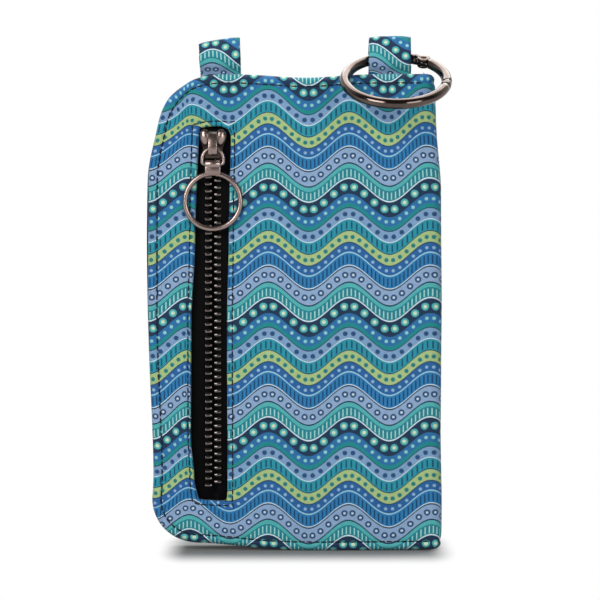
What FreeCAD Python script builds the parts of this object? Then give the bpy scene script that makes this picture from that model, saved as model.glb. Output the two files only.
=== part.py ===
"""Phone pouch: a padded cloth pouch with a zipped front pocket, an open phone pocket behind it,
two strap loops at the top and a spring-gate ring hung in one of them.

Millimetres. The front faces -Y, +X is to the right as the front is seen, +Z is up.
The origin is at the middle of the base.
"""
import FreeCAD
import Part
import Sketcher

import math
import os
import re
from types import SimpleNamespace

from FreeCAD import Placement, Rotation, Vector

SIZES = {
    # Outline of the pouch. The left side opens round, the right side is the fold of the cloth.
    "pouch_width": 109.0,
    "pouch_height": 180.0,
    "open_corner": 19.0,
    "fold_corner": 3.0,
    "edge_round": 1.5,
    "front_round": 2.8,
    # Layers, from the front to the back
    "front_depth": 6.5,
    "front_skin": 3.0,
    "border_width": 7.0,
    "lining_thick": 0.6,
    "lining_inset": 1.0,
    "middle_thick": 3.0,
    "phone_depth": 9.0,
    "back_thick": 2.4,
    "back_drop": 20.0,
    "gusset_wall": 1.6,
    "spine_wall": 2.4,
    # Window for the zip, cut in the front cloth
    "window_from_left": 24.0,
    "window_base": 19.7,
    "window_from_top": 19.7,
    "window_width": 12.4,
    "window_round": 0.8,
    # Zip chain
    "tape_width": 12.0,
    "tape_thick": 0.6,
    "tape_tail": 8.0,
    "chain_width": 6.1,
    "chain_slit": 0.8,
    "tooth_height": 1.3,
    "tooth_thick": 2.4,
    "tooth_head": 1.3,
    "tooth_round": 0.3,
    "tooth_pitch": 2.65,
    "chain_end": 3.0,
    # Slider
    "slider_length": 11.5,
    "slider_width": 10.3,
    "slider_tail_width": 8.2,
    "slider_plate": 1.2,
    "slider_round": 1.2,
    "slider_waist": 4.0,
    "slider_top_gap": 0.8,
    "neck_thick": 0.5,
    "neck_length": 3.0,
    "run_clearance": 0.3,
    # Crown on the slider, with the tunnel that the stirrup hangs in
    "crown_width": 3.4,
    "crown_wall": 0.9,
    "crown_round": 0.5,
    "crown_from_top": 0.9,
    "crown_foot": 1.2,
    "crown_head": 5.0,
    "tunnel_height": 3.3,
    "tunnel_length": 3.2,
    # Pull: a stirrup and a ring with a tab
    "stirrup_width": 9.4,
    "stirrup_wire": 1.4,
    "stirrup_ease": 0.35,
    "stirrup_drop": 6.0,
    "tab_width": 5.9,
    "tab_thick": 1.1,
    "knuckle_radius": 1.7,
    "knuckle_bore": 1.1,
    "pull_drop": 13.9,
    "pull_radius": 10.4,
    "pull_wire": 1.0,
    "pull_gap": 0.2,
    # Strap loops
    "loop_width": 16.0,
    "loop_height": 15.0,
    "loop_tail": 11.0,
    "strap_thick": 1.2,
    "loop_bulge": 3.7,
    "loop_crest": 0.9,
    "loop_foot": 0.8,
    "left_loop_from_left": 26.5,
    "right_loop_from_right": 18.3,
    # Carrier ring with its gate
    "ring_radius": 19.0,
    "ring_wire": 2.0,
    "ring_rise": 5.8,
    "ring_tilt": 29.0,
    "ring_aside": 1.9,
    "gate_start": 55.0,
    "gate_span": 63.0,
    "gate_lip": 10.0,
    "gate_gap": 0.3,
    "gate_tongue": 1.4,
    "fork_lip": 0.4,
    "fork_flat": 0.1,
    "eye_lip": 0.1,
    "gate_pin_radius": 0.6,
    "pin_clearance": 0.05,
    # How far a cut runs past the solid
    "overrun": 5.0,
}

# Where the layers begin, from the front face to the back
FRONT = "-(front_depth + lining_thick + middle_thick + phone_depth + back_thick) / 2"
LINING = FRONT + " + front_depth"
MIDDLE = LINING + " + lining_thick"
PHONE = MIDDLE + " + middle_thick"
BACK = PHONE + " + phone_depth"
LEFT = "-pouch_width / 2"
WINDOW_X = LEFT + " + window_from_left"
WINDOW_HEIGHT = "(pouch_height - window_base - window_from_top)"
BACK_TOP = "pouch_height - back_drop"
LEFT_LOOP_X = LEFT + " + left_loop_from_left"
RIGHT_LOOP_X = "pouch_width / 2 - right_loop_from_right"
# Shares of the slider's length and of the crown's reach, where their outlines turn
SLIDER_TAIL_SHARE = 0.35
SLIDER_HIP_SHARE = 0.7
CROWN_TOE_SHARE = 0.6
CROWN_BROW_SHARE = 0.35
FULL_TURN = 360.0
# Sides of the section of a bent wire
WIRE_SIDES = 16
NEAR = 1e-4

doc = FreeCAD.newDocument("phone_pouch")


def make_sheet():
    """The spreadsheet of driving sizes, one named cell for each."""
    sheet = doc.addObject("Spreadsheet::Sheet", "Sizes")
    for row, (name, value) in enumerate(SIZES.items(), start=1):
        sheet.set(f"A{row}", name)
        sheet.set(f"B{row}", str(value))
        sheet.setAlias(f"B{row}", name)
    doc.recompute()
    return sheet


sheet = make_sheet()
size = SimpleNamespace(**{name: float(sheet.get(name)) for name in SIZES})
depth = size.front_depth + size.lining_thick + size.middle_thick + size.phone_depth + size.back_thick
front_y = -depth / 2
window_x = -size.pouch_width / 2 + size.window_from_left
window_top = size.pouch_height - size.window_from_top
slider_top = window_top - size.slider_top_gap


def cells(formula):
    """The formula with each size's name turned into its cell."""
    names = r"\b(" + "|".join(SIZES) + r")\b"
    return re.sub(names, r"Sizes.\1", formula)


def bind(thing, **formulas):
    """Binds properties, such as Length or Placement__Base__x, to formulas of the sheet."""
    for name, formula in formulas.items():
        thing.setExpression(name.replace("__", "."), cells(formula))
    return thing


# Helpers for bodies


def make_body(label, x="0", y="0", z="0"):
    """An empty body, placed by three formulas."""
    body = doc.addObject("PartDesign::Body", label)
    body.Label = label
    return bind(body, Placement__Base__x=x, Placement__Base__y=y, Placement__Base__z=z)


def make_sketch(body, name, role):
    """An empty sketch on one of the body's origin planes."""
    sketch = body.newObject("Sketcher::SketchObject", name)
    plane = next(item for item in body.Origin.OriginFeatures if item.Role == role)
    sketch.AttachmentSupport = [(plane, "")]
    sketch.MapMode = "FlatFace"
    return sketch


def rectangle(body, name, x, z, width, height, behind="0"):
    """A rectangle facing the front, from its lower left corner, some way behind the body's own plane."""
    sketch = make_sketch(body, name, "XZ_Plane")
    bind(sketch, AttachmentOffset__Base__x=x, AttachmentOffset__Base__y=z)
    bind(sketch, AttachmentOffset__Base__z=f"-({behind})")
    corners = [Vector(0, 0), Vector(1, 0), Vector(1, 1), Vector(0, 1)]
    for start, end in zip(corners, corners[1:] + corners[:1]):
        sketch.addGeometry(Part.LineSegment(start, end))
    for side in range(len(corners)):
        sketch.addConstraint(Sketcher.Constraint("Coincident", side, 2, (side + 1) % 4, 1))
        sketch.addConstraint(Sketcher.Constraint("Vertical" if side % 2 else "Horizontal", side))
    sketch.addConstraint(Sketcher.Constraint("Coincident", 0, 1, -1, 1))
    for side, word, formula in ((0, "DistanceX", width), (1, "DistanceY", height)):
        index = sketch.addConstraint(Sketcher.Constraint(word, side, 1, side, 2, 1.0))
        sketch.setExpression(f"Constraints[{index}]", cells(formula))
    return sketch


def pad(body, sketch, length, reverse=True):
    """Pads a sketch, on a front-facing one towards the back."""
    feature = body.newObject("PartDesign::Pad", sketch.Name + "_pad")
    feature.Profile = sketch
    feature.Reversed = reverse
    bind(feature, Length=length)
    doc.recompute()
    return feature


def polygon(sketch, points):
    """Adds a closed outline of straight sides to a sketch."""
    corners = [Vector(x, y) for x, y in points]
    for start, end in zip(corners, corners[1:] + corners[:1]):
        sketch.addGeometry(Part.LineSegment(start, end))


def pocket(body, sketch, length=None):
    """Cuts a front-facing sketch from its plane to a depth, or through everything behind it."""
    before = body.Shape.Volume
    feature = body.newObject("PartDesign::Pocket", sketch.Name + "_pocket")
    feature.Profile = sketch
    if length is None:
        feature.Type = "ThroughAll"
    else:
        bind(feature, Length=length)
    doc.recompute()
    if not body.Shape.Volume < before - NEAR:
        raise RuntimeError(f"{feature.Name} cuts nothing")
    return feature


def fillet(body, chosen, radius):
    """Rounds the edges of the body's tip that the test chooses."""
    tip = body.Tip
    edges = [f"Edge{i}" for i, edge in enumerate(tip.Shape.Edges, start=1) if chosen(edge)]
    feature = body.newObject("PartDesign::Fillet", f"{body.Name}_round")
    feature.Base = (tip, edges)
    bind(feature, Radius=radius)
    doc.recompute()
    return feature


def along_depth(x, z):
    """Chooses the edges that run from front to back at a place."""

    def chosen(edge):
        ends = [vertex.Point for vertex in edge.Vertexes]
        return len(ends) == 2 and all(math.hypot(p.x - x, p.z - z) < NEAR for p in ends)

    return chosen


def at_depth(y, inside):
    """Chooses the edges that lie at one depth, in or out of the zip window."""
    reach = size.window_width / 2 + NEAR

    def chosen(edge):
        flat = edge.BoundBox.YLength < NEAR and abs(edge.CenterOfMass.y - y) < NEAR
        in_window = abs(edge.CenterOfMass.x - window_x) < reach and size.window_base - NEAR < (
            edge.CenterOfMass.z
        ) < window_top + NEAR
        return flat and in_window == inside

    return chosen


def round_corners(body, left, right, bottom, top, radii):
    """Rounds the four corners of a panel: lower left, lower right, upper right, upper left."""
    places = ((left, bottom), (right, bottom), (right, top), (left, top))
    for (x, z), radius in zip(places, radii):
        fillet(body, along_depth(x, z), radius)


# Cloth panels


def make_panel(label, y, thick, top, radii, inset="0"):
    """A flat cloth panel with the pouch's outline, taken in by an inset, up to a top."""
    body = make_body(label, y=y)
    outline = rectangle(
        body, label + "_outline", f"{LEFT} + {inset}", inset,
        f"pouch_width - 2 * ({inset})", f"{top} - 2 * ({inset})",
    )
    pad(body, outline, thick)
    box = body.Shape.BoundBox
    round_corners(body, box.XMin, box.XMax, box.ZMin, box.ZMax, radii)
    return body


FRONT_RADII = ("open_corner", "fold_corner", "fold_corner", "open_corner")
BACK_RADII = ("open_corner", "fold_corner", "fold_corner", "fold_corner")


def make_front_panel():
    """The printed front: a padded tray whose thick border is the sewn edge of the zip pocket."""
    body = make_panel("front_panel", FRONT, "front_depth", "pouch_height", FRONT_RADII)
    hollow = rectangle(
        body, "zip_pocket", f"{LEFT} + border_width", "border_width",
        "pouch_width - 2 * border_width", "pouch_height - 2 * border_width", "front_skin",
    )
    pocket(body, hollow)
    window = rectangle(
        body, "zip_window", f"{WINDOW_X} - window_width / 2", "window_base",
        "window_width", WINDOW_HEIGHT,
    )
    pocket(body, window)
    inner = -size.pouch_width / 2 + size.border_width
    low, high = size.border_width, size.pouch_height - size.border_width
    for z in (low, high):
        fillet(body, along_depth(inner, z), "open_corner - border_width")
    fillet(body, at_depth(0, inside=False), "front_round")
    fillet(body, at_depth(0, inside=True), "window_round")
    return body


def make_middle_panel():
    """The wall between the zip pocket and the phone, with a recess for the tail of each strap loop."""
    body = make_panel("middle_panel", MIDDLE, "middle_thick", "pouch_height", FRONT_RADII)
    for label, x in (("left_tail", LEFT_LOOP_X), ("right_tail", RIGHT_LOOP_X)):
        recess = rectangle(
            body, label, f"{x} - loop_width / 2", "pouch_height - loop_tail",
            "loop_width", "loop_tail + overrun",
        )
        pocket(body, recess, "2 * strap_thick")
    return body


def make_back_panel():
    """The printed back of the phone pocket, lower than the front so that the phone can be gripped."""
    body = make_panel("back_panel", BACK, "back_thick", BACK_TOP, BACK_RADII)
    fillet(body, at_depth(size.back_thick, inside=False), "edge_round")
    return body


def make_gusset():
    """The black strip down the left side and along the base of the phone pocket."""
    body = make_body("gusset", y=PHONE)
    outer = rectangle(body, "gusset_outline", LEFT, "0", "pouch_width - spine_wall", BACK_TOP)
    pad(body, outer, "phone_depth")
    inner = rectangle(
        body, "phone_space", f"{LEFT} + gusset_wall", "gusset_wall", "pouch_width + overrun",
        "pouch_height + overrun",
    )
    pocket(body, inner)
    left = -size.pouch_width / 2
    fillet(body, along_depth(left, 0), "open_corner")
    wall = size.gusset_wall
    fillet(body, along_depth(left + wall, wall), "open_corner - gusset_wall")
    return body


def make_spine_panel():
    """The fold of the printed cloth down the right side of the phone pocket."""
    body = make_body("spine_panel", y=PHONE)
    side = rectangle(
        body, "spine_outline", "pouch_width / 2 - spine_wall", "0", "spine_wall", BACK_TOP
    )
    pad(body, side, "phone_depth")
    fillet(body, along_depth(size.pouch_width / 2, 0), "spine_wall / 2")
    return body


def make_phone_lining(label, y):
    """A black lining inside the phone pocket, between the gusset and the fold."""
    body = make_body(label, y=y)
    outline = rectangle(
        body, label + "_outline", f"{LEFT} + gusset_wall", "gusset_wall",
        "pouch_width - gusset_wall - spine_wall", f"{BACK_TOP} - gusset_wall",
    )
    pad(body, outline, "lining_thick")
    corner = along_depth(size.gusset_wall - size.pouch_width / 2, size.gusset_wall)
    fillet(body, corner, "open_corner - gusset_wall")
    return body


# Strap loops


def drop_outline(centre_z, radius, foot_z, crest_z, crest_radius):
    """A drop in the YZ plane: a round belly, a pointed foot under it and a small round crest over it."""
    belly = Vector(0, centre_z)
    crest = Vector(0, crest_z - crest_radius)
    foot = Vector(0, foot_z)
    low = math.acos(radius / (centre_z - foot_z))
    high = math.asin((radius - crest_radius) / (crest.y - belly.y))

    def around(centre, reach, angle, side):
        return centre + Vector(side * reach * math.cos(angle), reach * math.sin(angle))

    low_angle = low - math.pi / 2
    pieces = []
    for side in (1, -1):
        lower = around(belly, radius, low_angle, side)
        middle = around(belly, radius, (low_angle + high) / 2, side)
        upper = around(belly, radius, high, side)
        shoulder = around(crest, crest_radius, high, side)
        top = crest + Vector(0, crest_radius)
        turn = around(crest, crest_radius, (high + math.pi / 2) / 2, side)
        half = [
            Part.LineSegment(foot, lower),
            Part.Arc(lower, middle, upper),
            Part.LineSegment(upper, shoulder),
            Part.Arc(shoulder, turn, top),
        ]
        pieces += half
    return pieces


def make_loop(label, x):
    """A strap folded into a loop, its two ends sewn together between the layers of the pouch."""
    body = make_body(label, x=f"{x} - loop_width / 2", y=f"{MIDDLE} + strap_thick", z="pouch_height")
    strap = size.strap_thick
    lean = math.asin(size.loop_bulge / (size.ring_rise - size.loop_foot))
    outer_radius = size.loop_bulge + strap
    outer_foot = size.ring_rise - outer_radius / math.sin(lean)
    profile = make_sketch(body, label + "_profile", "YZ_Plane")
    inner_crest = size.loop_height - strap
    for piece in drop_outline(
        size.ring_rise, outer_radius, outer_foot, size.loop_height, size.loop_crest + strap
    ):
        profile.addGeometry(piece)
    for piece in drop_outline(
        size.ring_rise, size.loop_bulge, size.loop_foot, inner_crest, size.loop_crest
    ):
        profile.addGeometry(piece)
    pad(body, profile, "loop_width", reverse=False)
    tail = make_sketch(body, label + "_tail", "YZ_Plane")
    low = -size.loop_tail
    polygon(tail, [(-strap, low), (strap, low), (strap, 0), (-strap, 0)])
    pad(body, tail, "loop_width", reverse=False)
    return body


# Zip chain


def make_tape(label, side):
    """One woven tape of the zip, sewn behind an edge of the window."""
    tape = doc.addObject("Part::Box", label)
    tape.Label = label
    edge = "chain_slit / 2 + tooth_head"
    x = f"{WINDOW_X} + {edge}" if side > 0 else f"{WINDOW_X} - ({edge}) - tape_width"
    bind(tape, Length="tape_width", Width="tape_thick", Height=f"{WINDOW_HEIGHT} + 2 * tape_tail")
    bind(tape, Placement__Base__x=x, Placement__Base__y=f"{FRONT} + front_skin")
    return bind(tape, Placement__Base__z="window_base - tape_tail")


def make_teeth(label, side, lift):
    """One row of metal teeth. Each tooth clamps the edge of its tape between two legs."""
    body = make_body(
        label, x=WINDOW_X, y=f"{FRONT} + front_skin + tape_thick / 2",
        z=f"window_base + chain_end + {lift}",
    )
    body.AllowCompound = True
    head, leg = size.chain_slit / 2, size.chain_width / 2
    throat = head + size.tooth_head
    half, grip = size.tooth_thick / 2, size.tape_thick / 2
    shape = [
        (head + size.tooth_round, -half), (leg, -half), (leg, -grip), (throat, -grip),
        (throat, grip), (leg, grip), (leg, half), (head + size.tooth_round, half),
        (head, half - size.tooth_round), (head, size.tooth_round - half),
    ]
    section = make_sketch(body, label + "_section", "XY_Plane")
    polygon(section, [(side * x, y) for x, y in shape])
    tooth = pad(body, section, "tooth_height", reverse=False)
    reach = slider_top - size.slider_length / 2 - size.window_base - size.chain_end
    count = int(reach / size.tooth_pitch)
    row = body.newObject("PartDesign::LinearPattern", label + "_row")
    row.Originals = [tooth]
    row.Direction = (section, ["N_Axis"])
    row.Occurrences = count
    row.setExpression("Length", cells("tooth_pitch") + f" * {count - 1}")
    body.Tip = row
    doc.recompute()
    return body


# Slider

PLATE_Y = FRONT + " + front_skin + tape_thick / 2 - tooth_thick / 2 - run_clearance - slider_plate"
CHANNEL = "tooth_thick + 2 * run_clearance"
SLIDER_BASE = "pouch_height - window_from_top - slider_top_gap - slider_length"


def make_slider_body():
    """Two plates joined by a thin neck, with a channel for the teeth and a slot for the tapes."""
    body = make_body("slider_body", x=WINDOW_X, y=PLATE_Y, z=SLIDER_BASE)
    wide, narrow = size.slider_width / 2, size.slider_tail_width / 2
    long = size.slider_length
    outline = make_sketch(body, "slider_outline", "XZ_Plane")
    polygon(outline, [
        (-narrow, 0), (narrow, 0), (narrow, long * SLIDER_TAIL_SHARE), (wide, long * SLIDER_HIP_SHARE),
        (wide, long), (-wide, long), (-wide, long * SLIDER_HIP_SHARE), (-narrow, long * SLIDER_TAIL_SHARE),
    ])
    pad(body, outline, f"2 * slider_plate + {CHANNEL}")
    for side in (-1, 1):
        fillet(body, along_depth(side * narrow, 0), "slider_round")
        fillet(body, along_depth(side * wide, long), "slider_round")
        fillet(body, along_depth(side * narrow, long * SLIDER_TAIL_SHARE), "slider_waist")
        fillet(body, along_depth(side * wide, long * SLIDER_HIP_SHARE), "slider_waist")
    channel = rectangle(
        body, "teeth_channel", "-chain_width / 2 - run_clearance", "-overrun",
        "chain_width + 2 * run_clearance", "slider_length + 2 * overrun", "slider_plate",
    )
    pocket(body, channel, CHANNEL)
    slot = rectangle(
        body, "tape_slot", "-slider_width / 2 - overrun", "-overrun",
        "slider_width + 2 * overrun", "slider_length + 2 * overrun",
        "slider_plate + tooth_thick / 2 - tape_thick / 2",
    )
    pocket(body, slot, "tape_thick + 2 * run_clearance")
    neck = rectangle(
        body, "neck", "-neck_thick / 2", "slider_length - neck_length", "neck_thick", "neck_length",
        "slider_plate",
    )
    pad(body, neck, CHANNEL)
    return body


AXIS_Z = (
    "pouch_height - window_from_top - slider_top_gap - crown_from_top - crown_head - tunnel_length / 2"
)
axis_z = slider_top - size.crown_from_top - size.crown_head - size.tunnel_length / 2
pull_y = front_y - size.pull_gap - size.pull_wire
PULL_Y = FRONT + " - pull_gap - pull_wire"


def make_slider_crown():
    """The bridge on the slider's face, with a tunnel across it for the stirrup."""
    body = make_body("slider_crown", x=f"{WINDOW_X} - crown_width / 2", y=PLATE_Y, z=AXIS_Z)
    reach = size.tunnel_height + size.crown_wall
    half = size.tunnel_length / 2
    low, high = -half - size.crown_foot, half + size.crown_head
    profile = make_sketch(body, "crown_profile", "YZ_Plane")
    polygon(profile, [
        (0, low), (-reach * CROWN_TOE_SHARE, low), (-reach, -half), (-reach, half),
        (-reach * CROWN_BROW_SHARE, high), (0, high), (0, half), (-size.tunnel_height, half),
        (-size.tunnel_height, -half), (0, -half),
    ])
    pad(body, profile, "crown_width", reverse=False)
    sides = (0, size.crown_width)

    def outer_rim(edge):
        on_side = any(abs(edge.BoundBox.XMin - x) + abs(edge.BoundBox.XMax - x) < NEAR for x in sides)
        off_plate = edge.BoundBox.YMax < -NEAR or edge.BoundBox.YLength > NEAR
        tunnel = abs(edge.CenterOfMass.z) <= half + NEAR and edge.BoundBox.YMin > NEAR - reach
        return on_side and off_plate and not tunnel

    fillet(body, outer_rim, "crown_round")
    return body


# Pull


def bent_wire(name, place, radius, wire, start=0.0, span=FULL_TURN):
    """A wire of many even sides, bent about the z axis of a place from an angle through a span."""
    section = doc.addObject("Part::RegularPolygon", name + "_section")
    section.Polygon = WIRE_SIDES
    bind(section, Circumradius=wire)
    turned = Placement(Vector(), Rotation(Vector(0, 0, 1), start))
    outward = Vector(float(sheet.get(radius)), 0, 0)
    upright = Placement(outward, Rotation(Vector(1, 0, 0), 90))
    section.Placement = place.multiply(turned).multiply(upright)
    bent = doc.addObject("Part::Revolution", name)
    bent.Source = section
    bent.Base = place.Base
    bent.Axis = place.Rotation.multVec(Vector(0, 0, 1))
    bent.Angle = span
    bent.Solid = True
    return bent


def make_pull_stirrup():
    """The flat stirrup that hangs in the crown: an arch, two legs and a bar across the foot."""
    body = make_body("pull_stirrup", x=WINDOW_X, y=f"{PULL_Y} - stirrup_wire / 2", z=AXIS_Z)
    wire = size.stirrup_wire
    outer = size.stirrup_width / 2
    inner = outer - wire
    spring = wire / 2 - outer
    foot = -size.stirrup_drop - wire / 2
    outline = make_sketch(body, "stirrup_outline", "XZ_Plane")
    for radius, bottom in ((outer, foot), (inner, foot + wire)):
        left, right = Vector(-radius, spring), Vector(radius, spring)
        low_left, low_right = Vector(-radius, bottom), Vector(radius, bottom)
        for start, end in ((left, low_left), (low_left, low_right), (low_right, right)):
            outline.addGeometry(Part.LineSegment(start, end))
        outline.addGeometry(Part.Arc(right, Vector(0, spring + radius), left))
    outline_pad = pad(body, outline, "stirrup_wire")
    rims = [
        f"Edge{i}" for i, edge in enumerate(body.Tip.Shape.Edges, start=1) if edge.BoundBox.YLength < NEAR
    ]
    eased = body.newObject("PartDesign::Chamfer", "stirrup_eased")
    eased.Base = (outline_pad, rims)
    bind(eased, Size="stirrup_ease")
    doc.recompute()
    return body


def make_pull_ring():
    """The finger ring, its tab and the knuckle that turns on the stirrup's bar, in one piece."""
    bar_z = f"{AXIS_Z} - stirrup_drop"
    centre = Vector(window_x, pull_y, axis_z - size.stirrup_drop - size.pull_drop)
    ring = bent_wire(
        "pull_hoop", Placement(centre, Rotation(Vector(1, 0, 0), 90)), "pull_radius", "pull_wire"
    )
    tab = doc.addObject("Part::Box", "pull_tab")
    bind(tab, Length="tab_width", Width="tab_thick", Height="pull_drop - pull_radius")
    bind(tab, Placement__Base__x=f"{WINDOW_X} - tab_width / 2")
    bind(tab, Placement__Base__y=f"{PULL_Y} - tab_thick / 2")
    bind(tab, Placement__Base__z=f"{bar_z} - pull_drop + pull_radius")
    rolls = []
    for name, radius, past in (("knuckle", "knuckle_radius", "0"), ("bore", "knuckle_bore", "overrun")):
        roll = doc.addObject("Part::Cylinder", "pull_" + name)
        roll.Placement = Placement(Vector(), Rotation(Vector(0, 1, 0), 90))
        bind(roll, Radius=radius, Height=f"tab_width + 2 * ({past})")
        bind(roll, Placement__Base__x=f"{WINDOW_X} - tab_width / 2 - {past}")
        bind(roll, Placement__Base__y=PULL_Y, Placement__Base__z=bar_z)
        rolls.append(roll)
    whole = doc.addObject("Part::MultiFuse", "pull_whole")
    whole.Shapes = [ring, tab, rolls[0]]
    drilled = doc.addObject("Part::Cut", "pull_ring")
    drilled.Label = "pull_ring"
    drilled.Base, drilled.Tool = whole, rolls[1]
    return drilled


# Carrier ring, in its own frame: x to the right, y to the loop that it hangs in, z along its axis

loop_x = size.pouch_width / 2 - size.right_loop_from_right
loop_y = front_y + size.front_depth + size.lining_thick + size.strap_thick
# The arc inside the loop bends away from its own middle, so the axis lies half that bend inside.
loop_reach = size.loop_width / 2 + size.ring_aside
loop_bend = size.ring_radius - math.sqrt(size.ring_radius**2 - loop_reach**2)
hang = size.ring_radius - loop_bend / 2
tilt = math.radians(size.ring_tilt)
ring_axis = Vector(loop_x, loop_y, size.pouch_height + size.ring_rise)
ring_place = Placement(
    ring_axis - Vector(-size.ring_aside, hang * math.cos(tilt), hang * math.sin(tilt)),
    Rotation(Vector(1, 0, 0), size.ring_tilt),
)
pin_angle = math.radians(size.gate_start)
pin_place = Vector(size.ring_radius * math.cos(pin_angle), size.ring_radius * math.sin(pin_angle))
mouth_angle = size.gate_start - size.gate_span
# The gate's end and the ring's lip are cut along arcs about the pin, so that the gate swings clear.
FORK_RADIUS = "(ring_wire + fork_lip)"
FORK_THICK = "(2 * ring_wire - 2 * fork_flat)"
GATE_REACH = "2 * ring_radius * sin(gate_span / 2 * 1deg)"


def ring_arc(name, start, span):
    """A bar bent along part of the ring, from an angle through a span in degrees."""
    return bent_wire(name, ring_place, "ring_radius", "ring_wire", start, span)


def ring_disc(name, radius, thick):
    """A disc about the gate's pin, its middle in the ring's plane. The sizes are formulas."""
    disc = doc.addObject("Part::Cylinder", name)
    bind(disc, Radius=radius, Height=thick)
    doc.recompute()
    centre = pin_place - Vector(0, 0, disc.Height.Value / 2)
    disc.Placement = ring_place.multiply(Placement(centre, Rotation()))
    return disc


def boolean(kind, name, base, tool):
    """A cut or a fuse of two objects."""
    made = doc.addObject(kind, name)
    made.Label = name
    made.Base, made.Tool = base, tool
    return made


def make_carrier_ring():
    """The fixed part of the ring, with a fork at one end for the gate's tongue."""
    bar = ring_arc("ring_bar", size.gate_start, FULL_TURN - size.gate_span - size.gate_lip)
    end = ring_arc("ring_end", mouth_angle - size.gate_lip, 2 * size.gate_lip)
    swing = ring_disc("gate_swing", f"{GATE_REACH} + gate_gap", "2 * ring_wire + overrun")
    lip = boolean("Part::Cut", "ring_lip", end, swing)
    fork = ring_disc("ring_fork", FORK_RADIUS, FORK_THICK)
    whole = doc.addObject("Part::MultiFuse", "ring_whole")
    whole.Shapes = [bar, lip, fork]
    whole.Refine = True
    slot = ring_disc("ring_slot", f"{FORK_RADIUS} + gate_gap", "gate_tongue + 2 * gate_gap")
    slotted = boolean("Part::Cut", "ring_slotted", whole, slot)
    bore = ring_disc("ring_bore", "gate_pin_radius", "2 * ring_wire + overrun")
    return boolean("Part::Cut", "carrier_ring", slotted, bore)


def make_ring_gate():
    """The gate that closes the ring, with a flat tongue that turns on the pin."""
    arc = ring_arc("gate_arc", mouth_angle - size.gate_lip, size.gate_span + size.gate_lip)
    reach = ring_disc("gate_reach", GATE_REACH, "2 * ring_wire + overrun")
    bar = boolean("Part::Common", "gate_bar", arc, reach)
    clear = ring_disc("gate_clear", f"{FORK_RADIUS} + gate_gap", "2 * ring_wire + overrun")
    shank = boolean("Part::Cut", "gate_shank", bar, clear)
    stem = ring_arc("gate_stem", mouth_angle, size.gate_span)
    flat = ring_disc("gate_flat", "2 * ring_wire", "gate_tongue")
    arm = boolean("Part::Common", "gate_arm", stem, flat)
    eye = ring_disc("gate_eye", "ring_wire + eye_lip", "gate_tongue")
    tongue = boolean("Part::Fuse", "gate_tongue", arm, eye)
    whole = boolean("Part::Fuse", "gate_whole", shank, tongue)
    bore = ring_disc("gate_bore", "gate_pin_radius + pin_clearance", "2 * ring_wire + overrun")
    return boolean("Part::Cut", "ring_gate", whole, bore)


def make_gate_pin():
    """The rivet that the gate turns on."""
    pin = ring_disc("gate_pin", "gate_pin_radius", FORK_THICK)
    pin.Label = "gate_pin"
    return pin


def check_and_write(parts):
    """Stops at a failed object or a bad solid, then writes one file for each sub-part."""
    for thing in doc.Objects:
        if "Invalid" in thing.State or "Error" in thing.State:
            raise RuntimeError(f"{thing.Name} failed: {thing.State}")
    for part in parts:
        if part.Shape.isNull() or not part.Shape.isValid() or not part.Shape.Solids:
            raise RuntimeError(f"{part.Label} has no valid solid")
    os.makedirs("parts", exist_ok=True)
    for part in parts:
        part.Shape.exportStep(f"parts/{part.Label}.step")
        box = part.Shape.BoundBox
        print(
            f"{part.Label}: {len(part.Shape.Solids)} solids, {part.Shape.Volume:.1f} mm3, "
            f"x {box.XMin:.2f} {box.XMax:.2f}, y {box.YMin:.2f} {box.YMax:.2f}, "
            f"z {box.ZMin:.2f} {box.ZMax:.2f}"
        )


parts = [
    make_front_panel(),
    make_panel("pocket_lining", LINING, "lining_thick", "pouch_height", FRONT_RADII, "lining_inset"),
    make_middle_panel(),
    make_back_panel(),
    make_gusset(),
    make_spine_panel(),
    make_phone_lining("front_phone_lining", PHONE),
    make_phone_lining("back_phone_lining", f"{BACK} - lining_thick"),
    make_loop("left_loop", LEFT_LOOP_X),
    make_loop("right_loop", RIGHT_LOOP_X),
    make_tape("zip_tape_left", -1),
    make_tape("zip_tape_right", 1),
    make_teeth("zip_teeth_left", -1, "0"),
    make_teeth("zip_teeth_right", 1, "tooth_pitch / 2"),
    make_slider_body(),
    make_slider_crown(),
    make_pull_stirrup(),
    make_pull_ring(),
    make_carrier_ring(),
    make_ring_gate(),
    make_gate_pin(),
]
doc.recompute()
check_and_write(parts)
print("ring axis", ring_axis, "pin", ring_place.multVec(pin_place))
print("stirrup axis", window_x, pull_y, axis_z, "bar", axis_z - size.stirrup_drop)
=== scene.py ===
# %% [markdown]
# # A phone pouch in printed cloth
#
# The pouch has a zipped pocket in front, an open pocket for the phone behind it, two strap loops
# and a spring-gate ring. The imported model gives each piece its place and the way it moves, and the
# pieces themselves are made here. A solid model of cloth is a stiff block, while real cloth puffs, dips
# and puckers, and real castings have soft edges that catch the light.
#
# Everything ends up in metres, the front faces -Y and +Z is up. Shapes are worked out in millimetres
# and multiplied by MM.

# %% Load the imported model
import math

import bmesh
import bpy
from mathutils import Matrix, Vector, noise


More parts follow.
